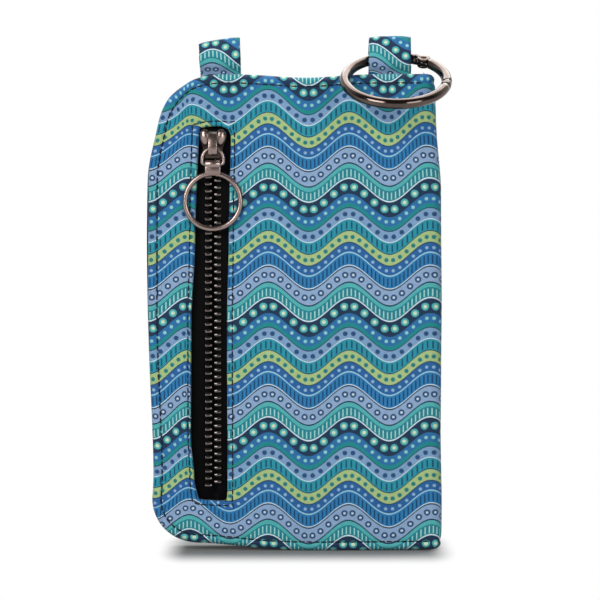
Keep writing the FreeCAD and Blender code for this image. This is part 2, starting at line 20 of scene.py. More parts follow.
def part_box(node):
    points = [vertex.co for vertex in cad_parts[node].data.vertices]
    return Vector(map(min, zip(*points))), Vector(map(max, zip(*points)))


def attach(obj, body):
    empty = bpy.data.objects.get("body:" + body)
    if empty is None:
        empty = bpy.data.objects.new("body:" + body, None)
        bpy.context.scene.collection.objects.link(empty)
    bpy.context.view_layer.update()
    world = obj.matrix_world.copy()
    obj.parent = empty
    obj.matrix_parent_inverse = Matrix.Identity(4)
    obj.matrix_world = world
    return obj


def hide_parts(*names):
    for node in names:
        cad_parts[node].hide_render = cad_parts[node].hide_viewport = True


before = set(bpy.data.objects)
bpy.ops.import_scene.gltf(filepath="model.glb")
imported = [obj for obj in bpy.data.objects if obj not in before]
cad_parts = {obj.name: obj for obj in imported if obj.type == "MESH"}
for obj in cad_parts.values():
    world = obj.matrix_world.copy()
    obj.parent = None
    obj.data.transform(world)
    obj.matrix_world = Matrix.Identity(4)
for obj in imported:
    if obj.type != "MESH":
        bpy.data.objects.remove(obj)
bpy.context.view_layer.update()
MM = 0.001
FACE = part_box("front_panel")[0][1] / MM
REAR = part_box("back_panel")[1][1] / MM
LEFT = -54.5
RIGHT = 54.5
TALL = 180.0
BACK_TALL = 160.0
print(f"front face at y {FACE:.2f} mm, rear face at y {REAR:.2f} mm")
print("nodes:", ", ".join(sorted(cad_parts)))

# %% [markdown]
# ## The camera
#
# The photograph looks straight at the front, from a little above the middle and from far away, so
# that the sides of the pouch hardly show. A long lens from 1.2 m gives that. The scale of the zip
# says that the picture is 226 mm wide at the front face.

# %% Place the camera
VIEW_WIDTH = 226.0
VIEW_AT = (2.3, FACE, 94.9)
VIEW_FROM = 1200.0
VIEW_RISE = math.radians(2.0)
SENSOR = 36.0


def put_in_scene(name, data):
    """Makes an object of a mesh, a lamp or a camera and puts it in the scene."""
    made = bpy.data.objects.new(name, data)
    bpy.context.collection.objects.link(made)
    return made


camera_data = bpy.data.cameras.new("camera")
camera_data.sensor_width = SENSOR
camera_data.lens = SENSOR * VIEW_FROM / VIEW_WIDTH
camera = put_in_scene("camera", camera_data)
reach = Vector((0, -math.cos(VIEW_RISE), math.sin(VIEW_RISE))) * VIEW_FROM
camera.location = (Vector(VIEW_AT) + reach) * MM
camera.rotation_euler = (math.radians(90) - VIEW_RISE, 0, 0)
bpy.context.scene.camera = camera
print(f"lens {camera_data.lens:.0f} mm")

# %% [markdown]
# ## Building blocks for materials
#
# A node tree is easier to read when each line makes one node and names what feeds it. These helpers
# add a node, set its options, and join or set its inputs in order or by name.


# %% Node helpers
def put(tree, socket, value):
    """Joins an input to another node's output, or sets it to a plain value. None leaves it alone."""
    if isinstance(value, bpy.types.NodeSocket):
        tree.links.new(value, socket)
    elif value is not None:
        socket.default_value = value


def add(tree, kind, *values, **options):
    """Adds a node, sets its options and feeds its inputs in order."""
    made = tree.nodes.new(kind)
    for name, option in options.items():
        setattr(made, name, option)
    for socket, value in zip(made.inputs, values):
        put(tree, socket, value)
    return made


def fill(tree, node, values):
    """Feeds a node's inputs by name."""
    for name, value in values.items():
        put(tree, node.inputs[name], value)
    return node


def math_node(tree, operation, *values):
    """The result of one sum in a node tree."""
    return add(tree, "ShaderNodeMath", *values, operation=operation).outputs[0]


def mixed(tree, share, first, second, **options):
    """A colour between two others, or one laid over the other if a blend type is given."""
    mix = add(tree, "ShaderNodeMix", data_type="RGBA", **options)
    return fill(tree, mix, {"Factor": share, "A": first, "B": second}).outputs["Result"]


def colour(code):
    """A colour as the render wants it, from the six digits of a paint chart."""
    parts = [int(code[i:i + 2], 16) / 255 for i in (1, 3, 5)]
    linear = [p / 12.92 if p <= 0.04045 else ((p + 0.055) / 1.055) ** 2.4 for p in parts]
    return (*linear, 1.0)


# %% Groups and materials
SOCKETS = {"Place": "NodeSocketVector", "Color": "NodeSocketColor"}


def new_group(name, takes, gives):
    """An empty node group with named inputs and outputs, which are numbers unless SOCKETS says more."""
    tree = bpy.data.node_groups.new(name, "ShaderNodeTree")
    for label in takes:
        tree.interface.new_socket(label, in_out="INPUT", socket_type=SOCKETS.get(label, "NodeSocketFloat"))
    for label in gives:
        tree.interface.new_socket(label, in_out="OUTPUT", socket_type=SOCKETS.get(label, "NodeSocketFloat"))
    return tree, add(tree, "NodeGroupInput"), add(tree, "NodeGroupOutput")


def use_group(tree, group, values):
    """Places a node group in a tree and feeds it."""
    return fill(tree, add(tree, "ShaderNodeGroup", node_tree=group), values)


def new_material(name):
    """A material with its principled shader, and the tree to feed it from."""
    material = bpy.data.materials.new(name)
    material.use_nodes = True
    return material, material.node_tree, material.node_tree.nodes["Principled BSDF"]


def bumped(tree, shader, height, strength, deep):
    """Gives a shader a fine relief, from a height and its depth in millimetres."""
    bump = add(tree, "ShaderNodeBump")
    fill(tree, bump, {"Strength": strength, "Distance": deep * MM, "Height": height})
    fill(tree, shader, {"Normal": bump.outputs[0]})


print("group inputs that aren't numbers:", ", ".join(SOCKETS))

# %% [markdown]
# ## Weave
#
# All the cloth on the pouch is woven, only at different scales. One group makes the over and under
# of the threads from two crossed waves, and breaks their evenness with a little noise. It gives a
# height for the bump and a painted shade that darkens the dips between the threads, with a painted
# highlight that lightens their tops.

# %% The weave group
SPECKS = 900.0
SPECK_DETAIL = 3.0
OVER_AND_UNDER = 0.35
# Painted shade in the dips between the threads, and a painted highlight on their tops
DIP_SHADE = 0.78
TOP_HIGHLIGHT = 1.06


def make_weave():
    tree, start, end = new_group("weave", ["Place", "Thread"], ["Height", "Shade"])
    place, thread = start.outputs["Place"], start.outputs["Thread"]
    step = math_node(tree, "DIVIDE", 2 * math.pi / MM, thread)
    scaled = fill(tree, add(tree, "ShaderNodeVectorMath", place, operation="SCALE"), {"Scale": step})
    split = add(tree, "ShaderNodeSeparateXYZ", scaled.outputs[0])
    warp = math_node(tree, "SINE", split.outputs[0])
    weft = math_node(tree, "SINE", split.outputs[1])
    over = math_node(tree, "MULTIPLY", warp, weft)
    speckle = add(tree, "ShaderNodeTexNoise", place, None, SPECKS, SPECK_DETAIL)
    uneven = math_node(tree, "MULTIPLY_ADD", over, OVER_AND_UNDER, speckle.outputs[0])
    shade = add(tree, "ShaderNodeMapRange", uneven, 0.1, 0.9, DIP_SHADE, TOP_HIGHLIGHT)
    fill(tree, end, {"Height": uneven, "Shade": shade.outputs[0]})
    return tree


weave = make_weave()
print("weave group:", len(weave.nodes), "nodes")

# %% [markdown]
# ## The print
#
# The cloth is printed in navy, blue, teal, aqua, blue-grey and pale green, with fine pale lines. A wave
# stripe, as on much traditional cloth, carries those colours: bands of several widths run across the
# cloth in long waves, and rows of beads and ticks fill the wider ones. The bands follow the cloth's
# own map, laid flat, so that the print runs on round the fold without a break.

# %% The wave stripe's colours
REPEAT = 45.0
WAVE_LENGTH = 30.0
WAVE_RISE = 9.0
NAVY = "#1b3552"
PALE = "#d3e7f0"
# Bands: where each starts, and its colour
BANDS = [
    (0.0, NAVY), (5.6, PALE), (6.0, "#1f8391"), (9.8, "#53b3b4"), (11.4, NAVY), (11.8, "#8fabcd"),
    (17.4, NAVY), (17.8, PALE), (18.2, "#2a7cb4"), (22.6, "#9ccbdc"), (23.1, "#2763a0"), (26.4, NAVY),
    (26.8, "#abc586"), (30.8, NAVY), (31.2, "#2a95a8"), (35.2, PALE), (35.6, "#7fa3c8"), (39.4, NAVY),
    (39.8, "#1d8b8c"), (41.4, "#2b70a8"),
]
# Rows of beads: the middle of the band, the pitch, the radius and the colour
BEADS = [
    (2.8, 3.75, 1.45, "#4fb2b6"), (2.8, 3.75, 0.7, "#d3e6c0"), (14.6, 3.0, 1.2, "#234a74"),
    (14.6, 3.0, 0.5, "#c5d8e6"), (28.8, 2.5, 0.8, "#227d7f"), (24.8, 2.5, 0.6, "#8fb7d6"),
    (37.5, 3.0, 0.9, "#274f7c"), (43.2, 2.5, 0.65, "#8fcfd0"),
]
# Rows of upright ticks: the middle of the band, the pitch, half the width, half the height and the colour
TICKS = [
    (7.9, 1.5, 0.22, 1.35, "#a9dcd6"), (20.4, 1.5, 0.25, 1.6, "#173f68"), (33.2, 1.875, 0.3, 1.4, "#14506e"),
]
# How far the ink of a bead or a tick runs at its edge
BEAD_BLUR = 0.12
TICK_BLUR = 0.1
print(f"{len(BANDS)} bands, {len(BEADS)} rows of beads and {len(TICKS)} rows of ticks in {REPEAT:.0f} mm")


# %% The wave stripe group
def wave_of(tree, across):
    """How far the wave lifts the bands, and how steep it is there."""
    turn = math_node(tree, "FRACT", math_node(tree, "DIVIDE", across, WAVE_LENGTH))
    away = math_node(tree, "SUBTRACT", turn, 0.5)
    ramp = math_node(tree, "MULTIPLY", math_node(tree, "ABSOLUTE", away), 2.0)
    squared = math_node(tree, "MULTIPLY", ramp, ramp)
    eased_ramp = math_node(tree, "MULTIPLY", squared, math_node(tree, "MULTIPLY_ADD", ramp, -2.0, 3.0))
    lift = math_node(tree, "MULTIPLY", eased_ramp, WAVE_RISE)
    bend = math_node(tree, "MULTIPLY", ramp, math_node(tree, "SUBTRACT", 1.0, ramp))
    side = math_node(tree, "MULTIPLY", math_node(tree, "SIGN", away), 12 * WAVE_RISE / WAVE_LENGTH)
    return lift, math_node(tree, "MULTIPLY", bend, side)


def cell_of(tree, across, level, middle, pitch):
    """The way from the middle of the nearest bead or tick: along the row, and above it."""
    cell = math_node(tree, "FRACT", math_node(tree, "DIVIDE", across, pitch))
    along = math_node(tree, "MULTIPLY", math_node(tree, "SUBTRACT", cell, 0.5), pitch)
    return along, math_node(tree, "SUBTRACT", level, middle)


def beads_of(tree, across, level, steep, middle, pitch, radius):
    """A mask of round beads along the middle of one band."""
    along, above = cell_of(tree, across, level, middle, pitch)
    upright = math_node(tree, "SUBTRACT", above, math_node(tree, "MULTIPLY", steep, along))
    squares = [math_node(tree, "MULTIPLY", way, way) for way in (along, upright)]
    far = math_node(tree, "SQRT", math_node(tree, "ADD", *squares))
    return add(tree, "ShaderNodeMapRange", far, radius + BEAD_BLUR, radius - BEAD_BLUR, 0.0, 1.0).outputs[0]


def ticks_of(tree, across, level, middle, pitch, half, tall):
    """A mask of upright ticks along the middle of one band."""
    along, above = cell_of(tree, across, level, middle, pitch)
    wide = math_node(tree, "SUBTRACT", math_node(tree, "ABSOLUTE", along), half)
    high = math_node(tree, "SUBTRACT", math_node(tree, "ABSOLUTE", above), tall)
    outside = math_node(tree, "MAXIMUM", wide, high)
    return add(tree, "ShaderNodeMapRange", outside, TICK_BLUR, -TICK_BLUR, 0.0, 1.0).outputs[0]


def make_wave_stripe():
    tree, start, end = new_group("wave_stripe", ["Place"], ["Color"])
    in_mm = add(tree, "ShaderNodeVectorMath", start.outputs[0], operation="SCALE")
    fill(tree, in_mm, {"Scale": 1 / MM})
    split = add(tree, "ShaderNodeSeparateXYZ", in_mm.outputs[0])
    across, up = split.outputs[0], split.outputs[1]
    lift, steep = wave_of(tree, across)
    turns = math_node(tree, "DIVIDE", math_node(tree, "ADD", up, lift), REPEAT)
    level = math_node(tree, "MULTIPLY", REPEAT, math_node(tree, "FRACT", turns))
    ramp = add(tree, "ShaderNodeValToRGB", math_node(tree, "DIVIDE", level, REPEAT))
    ramp.color_ramp.interpolation = "CONSTANT"
    stops = ramp.color_ramp.elements
    stops.remove(stops[1])
    for place, code in BANDS:
        stop = stops[0] if place == 0 else stops.new(place / REPEAT)
        stop.color = colour(code)
    printed = ramp.outputs[0]
    masks = [(ticks_of(tree, across, level, *row), code) for *row, code in TICKS]
    masks += [(beads_of(tree, across, level, steep, *row), code) for *row, code in BEADS]
    for mask, code in masks:
        printed = mixed(tree, mask, printed, colour(code))
    fill(tree, end, {"Color": printed})
    return tree


wave_stripe = make_wave_stripe()
print("wave stripe group:", len(wave_stripe.nodes), "nodes")

# %% [markdown]
# ## Cloth materials
#
# The printed cotton takes its colour from the stripe, and its grain and the painted shade between its
# threads from the weave. The black cloth and the zip tape have the same weave, with its painted shade,
# in other thread sizes over a plain dark colour. All of them read the map called cloth, which holds the
# flat cloth's own size. Sewing thread has no flat map, so it takes its grain and painted shade from
# where it lies.

# %% Cloth finishes
THREAD_DEEP = 0.3
GLOSS = 0.25
SHEEN = 0.08


def make_cloth(name, thread, bump, rough, print_group=None, plain=None, mapped=True, shine=1.0):
    """A woven cloth, printed or plain, on its flat map or on the piece as it lies."""
    material, tree, shader = new_material(name)
    if mapped:
        place = add(tree, "ShaderNodeUVMap", uv_map="cloth").outputs[0]
    else:
        place = add(tree, "ShaderNodeTexCoord").outputs["Object"]
    threads = use_group(tree, weave, {"Place": place, "Thread": thread})
    dye = use_group(tree, print_group, {"Place": place}).outputs[0] if print_group else colour(plain)
    # The weave's painted shade darkens the colour in the dips between the threads, and its painted highlight
    # lightens their tops
    shaded = mixed(tree, 1.0, dye, threads.outputs["Shade"], blend_type="MULTIPLY")
    fill(tree, shader, {
        "Base Color": shaded, "Roughness": rough, "Specular IOR Level": GLOSS * shine,
        "Sheen Weight": SHEEN * shine,
    })
    bumped(tree, shader, threads.outputs["Height"], bump, THREAD_DEEP)
    return material


printed_cotton = make_cloth("printed_cotton", thread=0.8, bump=0.35, rough=0.8, print_group=wave_stripe)
black_cotton = make_cloth("black_cotton", thread=0.8, bump=0.6, rough=0.8, plain="#15151a", shine=0.5)
zip_weave = make_cloth("zip_weave", thread=0.9, bump=0.6, rough=0.75, plain="#08080a", shine=0.25)
sewing_thread = make_cloth("sewing_thread", thread=0.3, bump=0.3, rough=0.7, plain="#10182a", mapped=False)
print("cloth finishes:", printed_cotton.name, black_cotton.name, zip_weave.name, sewing_thread.name)

# %% [markdown]
# ## The cover: one cloth, folded round the right side
#
# The front, the fold down the right side and the back are one length of padded cloth. So the cover is
# one grid that is first laid flat, with u across the cloth and v up it, and then folded: the front runs
# from the left edge to the fold, turns round it and comes back along the rear. The lines of the grid
# are close together at the edges, the seams and the zip window, where the cloth bends most.
#
# The left corners are round. Lines at equal distances from two sides of a square corner turn into
# arcs about one centre, so the loops of the grid stay parallel to the edge, as a seam does.

# %% Lines of the cloth grid
FOLD = 4.0
CORNER = 19.0
SEAM = 3.4
SIDE_SPAN = REAR - FACE - 2 * FOLD
TURN = FOLD * math.pi / 2
FRONT_SPAN = RIGHT - LEFT - FOLD
SIDE_AT = FRONT_SPAN + TURN
REAR_AT = SIDE_AT + SIDE_SPAN
CLOTH = 2 * FRONT_SPAN + 2 * TURN + SIDE_SPAN
# The zip's window and the box of stitches round it: left, right, foot and top on the flat cloth
WINDOW = (17.8, 30.2, 17.9, 160.3)
BOX = (15.7, 31.9, 16.0, 162.3)
EDGE_STEPS = [0, 0.25, 0.6, 1.0, 1.5, 2.1, 2.7, 3.1, 3.4, 3.7, 4.2, 5.0, 6.5]
WINDOW_STEPS = [-3.4, -2.9, -2.5, -2.1, -1.5, -1.0, -0.6, -0.25, 0]
FOLD_STEPS = [TURN * i / 5 for i in range(6)]
COLUMN_GAP = 1.7
ROW_GAP = 1.9


def ruled(stops, gap):
    """Fills the space between given lines with lines no further apart than a gap."""
    lines = []
    for low, high in zip(stops, stops[1:]):
        count = max(1, math.ceil((high - low) / gap))
        lines += [low + (high - low) * i / count for i in range(count)]
    return lines + [stops[-1]]


def key_lines(low, high, window_low, window_high):
    """Lines close to both edges of the cloth and to both sides of the window."""
    lines = [low + s for s in EDGE_STEPS] + [high - s for s in EDGE_STEPS]
    lines += [window_low + s for s in WINDOW_STEPS] + [window_high - s for s in WINDOW_STEPS]
    return [round(line, 3) for line in lines]


folds = [FRONT_SPAN + s for s in FOLD_STEPS] + [REAR_AT + s for s in FOLD_STEPS]
cloth_columns = ruled(sorted(set(key_lines(0, CLOTH, *WINDOW[:2]) + folds)), COLUMN_GAP)
cloth_rows = ruled(sorted(set(key_lines(0, TALL, *WINDOW[2:]))), ROW_GAP)
print(f"cloth {CLOTH:.1f} mm across, grid {len(cloth_columns)} by {len(cloth_rows)}")

# %% [markdown]
# ## From the flat cloth to the folded pouch
#
# Small functions do the folding, one step each. One gives the height of the cloth's upper edge, which
# steps down from the front to the lower back while it goes round the fold, and one stretches the
# grid's lines to it. Two more round the corners. The last bends the flat cloth round the fold and
# says which way its face looks there.

# %% Heights and corners
STRETCH_FROM = 30.0
REAR_CORNER = 3.0
STEP_SHARE = 0.45


def smooth(x):
    """An even step from 0 to 1."""
    x = min(1.0, max(0.0, x))
    return x * x * (3 - 2 * x)


def top_at(u):
    """Height of the cloth's upper edge across the cloth."""
    step = smooth((u - SIDE_AT - STEP_SHARE * SIDE_SPAN) / (STEP_SHARE * SIDE_SPAN))
    return TALL + (BACK_TALL - TALL) * step


def height_at(u, v):
    """A line of the grid keeps its distance from the nearer edge, and stretches in between."""
    top = top_at(u)
    if v <= STRETCH_FROM:
        return v
    if v >= TALL - STRETCH_FROM:
        return top - (TALL - v)
    return STRETCH_FROM + (v - STRETCH_FROM) * (top - 2 * STRETCH_FROM) / (TALL - 2 * STRETCH_FROM)


def rounded(a, b, radius):
    """Moves a place in a square corner, by its distances from two sides, into a round corner."""
    inside = radius - min(a, b)
    if a >= radius or b >= radius or inside < 1e-9:
        return a, b
    if a <= b:
        angle = (radius - b) / inside * math.pi / 4
    else:
        angle = math.pi / 2 - (radius - a) / inside * math.pi / 4
    return radius - inside * math.cos(angle), radius - inside * math.sin(angle)


# %% Folding
def lay(u, v):
    """Rounds the corners: from the grid's lines to the flat cloth."""
    v = height_at(u, v)
    top = top_at(u)
    behind = u > CLOTH / 2
    a = CLOTH - u if behind else u
    a, b = rounded(a, v, CORNER)
    a, down = rounded(a, top - b, REAR_CORNER if behind else CORNER)
    return CLOTH - a if behind else a, top - down


def fold(u, v):
    """The place on the folded pouch, and the way that the cloth faces."""
    if u <= FRONT_SPAN:
        return Vector((LEFT + u, FACE, v)), Vector((0, -1, 0))
    if u <= SIDE_AT:
        angle = (u - FRONT_SPAN) / FOLD
        out = Vector((math.sin(angle), -math.cos(angle), 0))
        return Vector((RIGHT - FOLD, FACE + FOLD, v)) + out * FOLD, out
    if u <= REAR_AT:
        return Vector((RIGHT, FACE + FOLD + u - SIDE_AT, v)), Vector((1, 0, 0))
    if u <= REAR_AT + TURN:
        angle = (u - REAR_AT) / FOLD
        out = Vector((math.cos(angle), math.sin(angle), 0))
        return Vector((RIGHT - FOLD, REAR - FOLD, v)) + out * FOLD, out
    return Vector((LEFT + CLOTH - u, REAR, v)), Vector((0, 1, 0))


print("corner of the front:", [round(c, 2) for c in fold(*lay(0, 0))[0]])

# %% [markdown]
# ## Puff, seams and puckers
#
# Foam under the cloth puffs it out, a seam pulls it down, and the thread gathers small puckers along
# the seam. Each is a height over the cloth, so they add up. The zip's box of stitches holds the cloth
# flat, which also leaves the pull ring room to lie on it.

# %% Relief of the cloth
# How high the padding and the puckers stand, how deep the seams lie and how round the edges are
PUFF = 1.7
PUCKER = 0.22
SEAM_DEEP = 0.45
BOX_DEEP = 0.35
EDGE_ROUND = 2.8
WINDOW_ROUND = 1.1
# How far the padding takes to rise from the edge's seam and from the zip's box
EDGE_RISE = 24
BOX_RISE = 26
# How full the padding is at the back, and how much of it the fold takes away, over what width
BACK_FULL = 0.8
FOLD_FLAT = 0.85
FOLD_REACH = 16


def edge_of(u, v):
    """Distance from the nearest sewn edge. The fold isn't one."""
    return max(0.0, min(u, CLOTH - u, v, TALL - v))


def outside_of(u, v, rectangle):
    """Distance outside a rectangle of the cloth, below 0 inside it."""
    dx = max(rectangle[0] - u, u - rectangle[1])
    dz = max(rectangle[2] - v, v - rectangle[3])
    return math.hypot(max(dx, 0), max(dz, 0)) + min(0.0, max(dx, dz))


def dip(distance, width):
    """A rounded groove, 1 deep on its line."""
    return math.exp(-((distance / width) ** 2))


def round_over(distance, radius):
    """How far a rounded edge drops, from 0 inside to its radius at the edge."""
    t = 1 - min(1.0, max(0.0, distance / radius))
    return radius * (1 - math.sqrt(max(0.0, 1 - t * t)))


def uneven(u, v, layer, size):
    """Noise over the flat cloth, from -1 to 1, with bumps of a given size."""
    return noise.noise(Vector((u, v, layer)) / size)


def relief(u, v):
    """Height of the cloth over its flat face, in millimetres."""
    edge = edge_of(u, v)
    seam = abs(edge - SEAM)
    box = outside_of(u, v, BOX)
    in_front = u < SIDE_AT
    swell = smooth((edge - SEAM) / EDGE_RISE) * (smooth(box / BOX_RISE) if in_front else BACK_FULL)
    fold_ease = 1 - FOLD_FLAT * dip(u - SIDE_AT - SIDE_SPAN / 2, FOLD_REACH)
    broad = 0.9 * uneven(u, v, 3.0, 38) + 0.3 * uneven(u, v, 9.0, 17)
    tucks = uneven(u, v, 17.0, 4.2) * dip(min(seam, abs(box)) if in_front else seam, 4.5)
    height = swell * (PUFF + broad) * fold_ease + PUCKER * tucks
    height -= SEAM_DEEP * dip(seam, 1.0) + round_over(edge, EDGE_ROUND)
    if in_front:
        height -= BOX_DEEP * dip(box, 0.9) + round_over(outside_of(u, v, WINDOW), WINDOW_ROUND)
    return height


print(f"puff at the middle of the front: {relief(75, 90):.2f} mm")

# %% [markdown]
# ## The lie of the soft pouch
#
# A sewn pouch doesn't keep the lines of its pattern. The edges of the zip window bow, and their corners
# pull round. The shoulder and the sides are drawn in, the base lifts off the table towards the left, and
# the upper edge sags between the loops. Two functions hold this: one moves the flat cloth beside the
# window, the other moves points of the folded pouch, and the layers behind the cover use it as well.

# %% The window's edges
# Bow of the window: the height on the cloth, and how far its left and its right edge stray to the right
BOW = [
    (17.9, 0.5, -0.8), (27.0, -0.8, -0.7), (42.0, -2.0, -0.65), (84.0, -1.65, -0.7), (119.0, -0.2, -0.05),
    (160.3, 1.1, 0.7),
]
# Corners of the window: its side and its foot or top, as places in WINDOW, and how far the corner pulls in
PULLED_CORNERS = [(0, 3, 0.4), (1, 3, 1.1), (0, 2, 0.3), (1, 2, 0.3)]
PULL_REACH = 2.0
# How far the cloth gives way beside the window: out from it, and across it
GIVE_OUT = 4.0
GIVE_IN = 6.0


def bow(v):
    """How far the two edges of the zip window stray from straight lines, as the cloth eases there."""
    v = min(BOW[-1][0], max(BOW[0][0], v))
    for (low, *before), (high, *after) in zip(BOW, BOW[1:]):
        if v <= high:
            break
    t = smooth((v - low) / (high - low))
    return [a + (b - a) * t for a, b in zip(before, after)]


def eased(u, v):
    """Moves the cloth beside the window by the bow of its edges, and rounds its corners."""
    below, above = WINDOW[2] - GIVE_OUT, WINDOW[3] + GIVE_OUT
    if not below < v < above:
        return u, v
    left, right = bow(v)
    give = smooth((v - below) / GIVE_OUT) * smooth((above - v) / GIVE_OUT)
    near_left = max(0.0, 1 - abs(u - WINDOW[0]) / (GIVE_OUT if u < WINDOW[0] else GIVE_IN))
    near_right = max(0.0, 1 - abs(u - WINDOW[1]) / (GIVE_OUT if u > WINDOW[1] else GIVE_IN))
    moved = [u + give * (left * near_left + right * near_right), v]
    for side, level, amount in PULLED_CORNERS:
        near = amount * dip(math.dist((u, v), (WINDOW[side], WINDOW[level])), PULL_REACH)
        moved[0] += near if side == 0 else -near
        moved[1] += near if level == 2 else -near
    return moved


print("bow of the window at half its height:", [round(edge, 2) for edge in bow(90)])

# %% The sides, the base and the upper edge
# Where the base rests and the upper edge sags most, and how far it sags
REST_X = 4.0
SAG = 1.4
# How far the base lifts at its left and at its right end
LIFT_LEFT = 2.4
LIFT_RIGHT = 0.5
# The hollow of the base under the zip: its place and its height
HOLLOW_X = -33.0
HOLLOW = 1.7
# How far the sides bulge at half the height
BULGE = 0.9


def drawn_in(x, z):
    """How far the sides of a soft pouch stray from its pattern: to the right, and down."""
    left = smooth((-37 - x) / 13)
    right = smooth((x - 28) / 24)
    upper_left = 4.3 * smooth((z - 140) / 30)
    lower_left = 1.6 * smooth((90 - z) / 60) * smooth((z - 2) / 26)
    upper_right = 1.3 * smooth((z - 135) / 25)
    lower_right = 1.3 * smooth((45 - z) / 40)
    shoulder = 2.6 * dip(x + 42, 8) * smooth((z - 150) / 25)
    return left * (upper_left + lower_left) + right * (lower_right - upper_right), shoulder


def settle(point):
    """Draws the sides in, lifts the ends of the base, lets the upper edge sag and the sides bulge."""
    aside, down = drawn_in(point.x, point.z)
    point.x += aside
    point.z -= down
    out = (point.x - REST_X) / (RIGHT - LEFT) * 2
    point.z += (LIFT_LEFT if out < 0 else LIFT_RIGHT) * out * out * smooth(1 - point.z / 60)
    hollow = dip(point.x - HOLLOW_X, 13 if point.x < HOLLOW_X else 20)
    point.z += HOLLOW * hollow * smooth(1 - point.z / 28)
    point.z -= SAG * smooth((point.z - 120) / 60) * dip(point.x - REST_X, 16)
    side = 1 if point.x > 0 else -0.6
    point.x += BULGE * math.sin(math.pi * point.z / TALL) * side * abs(point.x) / RIGHT
    return point


def cloth_at(u, v, raised=0.0):
    """A place on the finished cloth, in metres, and the way that it faces."""
    point, out = fold(*lay(*eased(u, v)))
    return settle(point + out * (relief(u, v) + raised)) * MM, out


print("lower left of the zip's box, in mm:", [round(c / MM, 1) for c in cloth_at(BOX[0], BOX[2])[0]])

# %% [markdown]
# ## Making the cover
#
# A grid with the right number of lines is made first, and each point is moved to its place on the
# folded cloth. The faces inside the zip window go. Then the edges are turned in: the open edge of
# the grid is extruded towards the inside of the pouch, as deep as the border is there.


# %% Mesh helpers
def finish_piece(name, mesh_data, material, nodes, body="pouch"):
    """Makes a bmesh into a smooth piece that rides on a body and stands for CAD nodes."""
    mesh = bpy.data.meshes.new(name)
    mesh_data.to_mesh(mesh)
    mesh_data.free()
    for polygon in mesh.polygons:
        polygon.use_smooth = True
    mesh.materials.append(material)
    piece = put_in_scene(name, mesh)
    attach(piece, body)
    if nodes:
        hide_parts(*nodes)
    print(f"{name}: {len(mesh.vertices)} points, {len(mesh.polygons)} faces")
    return piece


def thicken(piece, thickness):
    """Gives a sheet its thickness, away from the side that it faces."""
    wall = piece.modifiers.new("thickness", "SOLIDIFY")
    wall.thickness = thickness * MM
    wall.offset = -1.0
    wall.use_even_offset = False
    wall.use_rim = True


def ruled_grid(columns, rows):
    """A flat grid, and the column and the row that each of its points belongs to."""
    sheet = bmesh.new()
    wide, tall = len(columns) - 1, len(rows) - 1
    bmesh.ops.create_grid(sheet, x_segments=wide, y_segments=tall, size=0.5)
    places = [
        (columns[round((point.co.x + 0.5) * wide)], rows[round((point.co.y + 0.5) * tall)])
        for point in sheet.verts
    ]
    return sheet, places


def drawn_on(target, edges):
    """Extrudes a line of edges, and gives the new edges and the points to move."""
    made = bmesh.ops.extrude_edge_only(target, edges=edges)["geom"]
    line = [item for item in made if isinstance(item, bmesh.types.BMEdge)]
    return line, [item for item in made if isinstance(item, bmesh.types.BMVert)]


def map_cloth(sheet, flat_of):
    """Gives a sheet its map called cloth, by a function that says where a point lies on the flat cloth."""
    flat = sheet.loops.layers.uv.new("cloth")
    for face in sheet.faces:
        for corner in face.loops:
            corner[flat].uv = flat_of(corner.vert)


# %% The cover
ON_LINE = 0.01
COVER_THICK = 0.7
FIRST_TURN = 0.3
WINDOW_TURN = 1.8
# How deep the edge is turned in at the side, and how much more or less in front and behind
SIDE_TURN = 1.2
FRONT_MORE = 3.2
BACK_LESS = 0.7


def turn_depth(u, v):
    """How deep the edge is turned in: at the window, the padded border in front, the side and the back."""
    if outside_of(u, v, WINDOW) < ON_LINE:
        return WINDOW_TURN
    in_front = 1 - smooth((u - FRONT_SPAN + 6) / (TURN + 6))
    return SIDE_TURN + FRONT_MORE * in_front - BACK_LESS * smooth((u - REAR_AT) / TURN)


def off_edge(u, v):
    """The direction in the flat cloth that leads square off it, at an edge or into the window."""
    here = Vector(lay(u, v))
    if outside_of(u, v, WINDOW) < ON_LINE:
        u += (u >= WINDOW[1] - ON_LINE) - (u <= WINDOW[0] + ON_LINE)
        v += (v >= WINDOW[3] - ON_LINE) - (v <= WINDOW[2] + ON_LINE)
        return (here - Vector(lay(u, v))).normalized()
    inner = min(max(u, 1.0), CLOTH - 1.0), min(max(v, 1.0), TALL - 1.0)
    step = 0.2
    if inner[1] != v:
        ends = lay(max(u - step, 0.0), v), lay(min(u + step, CLOTH), v)
    else:
        ends = lay(u, max(v - step, 0.0)), lay(u, min(v + step, TALL))
    along = (Vector(ends[1]) - Vector(ends[0])).normalized()
    square = Vector((-along.y, along.x))
    return square if square.dot(here - Vector(lay(*inner))) > 0 else -square


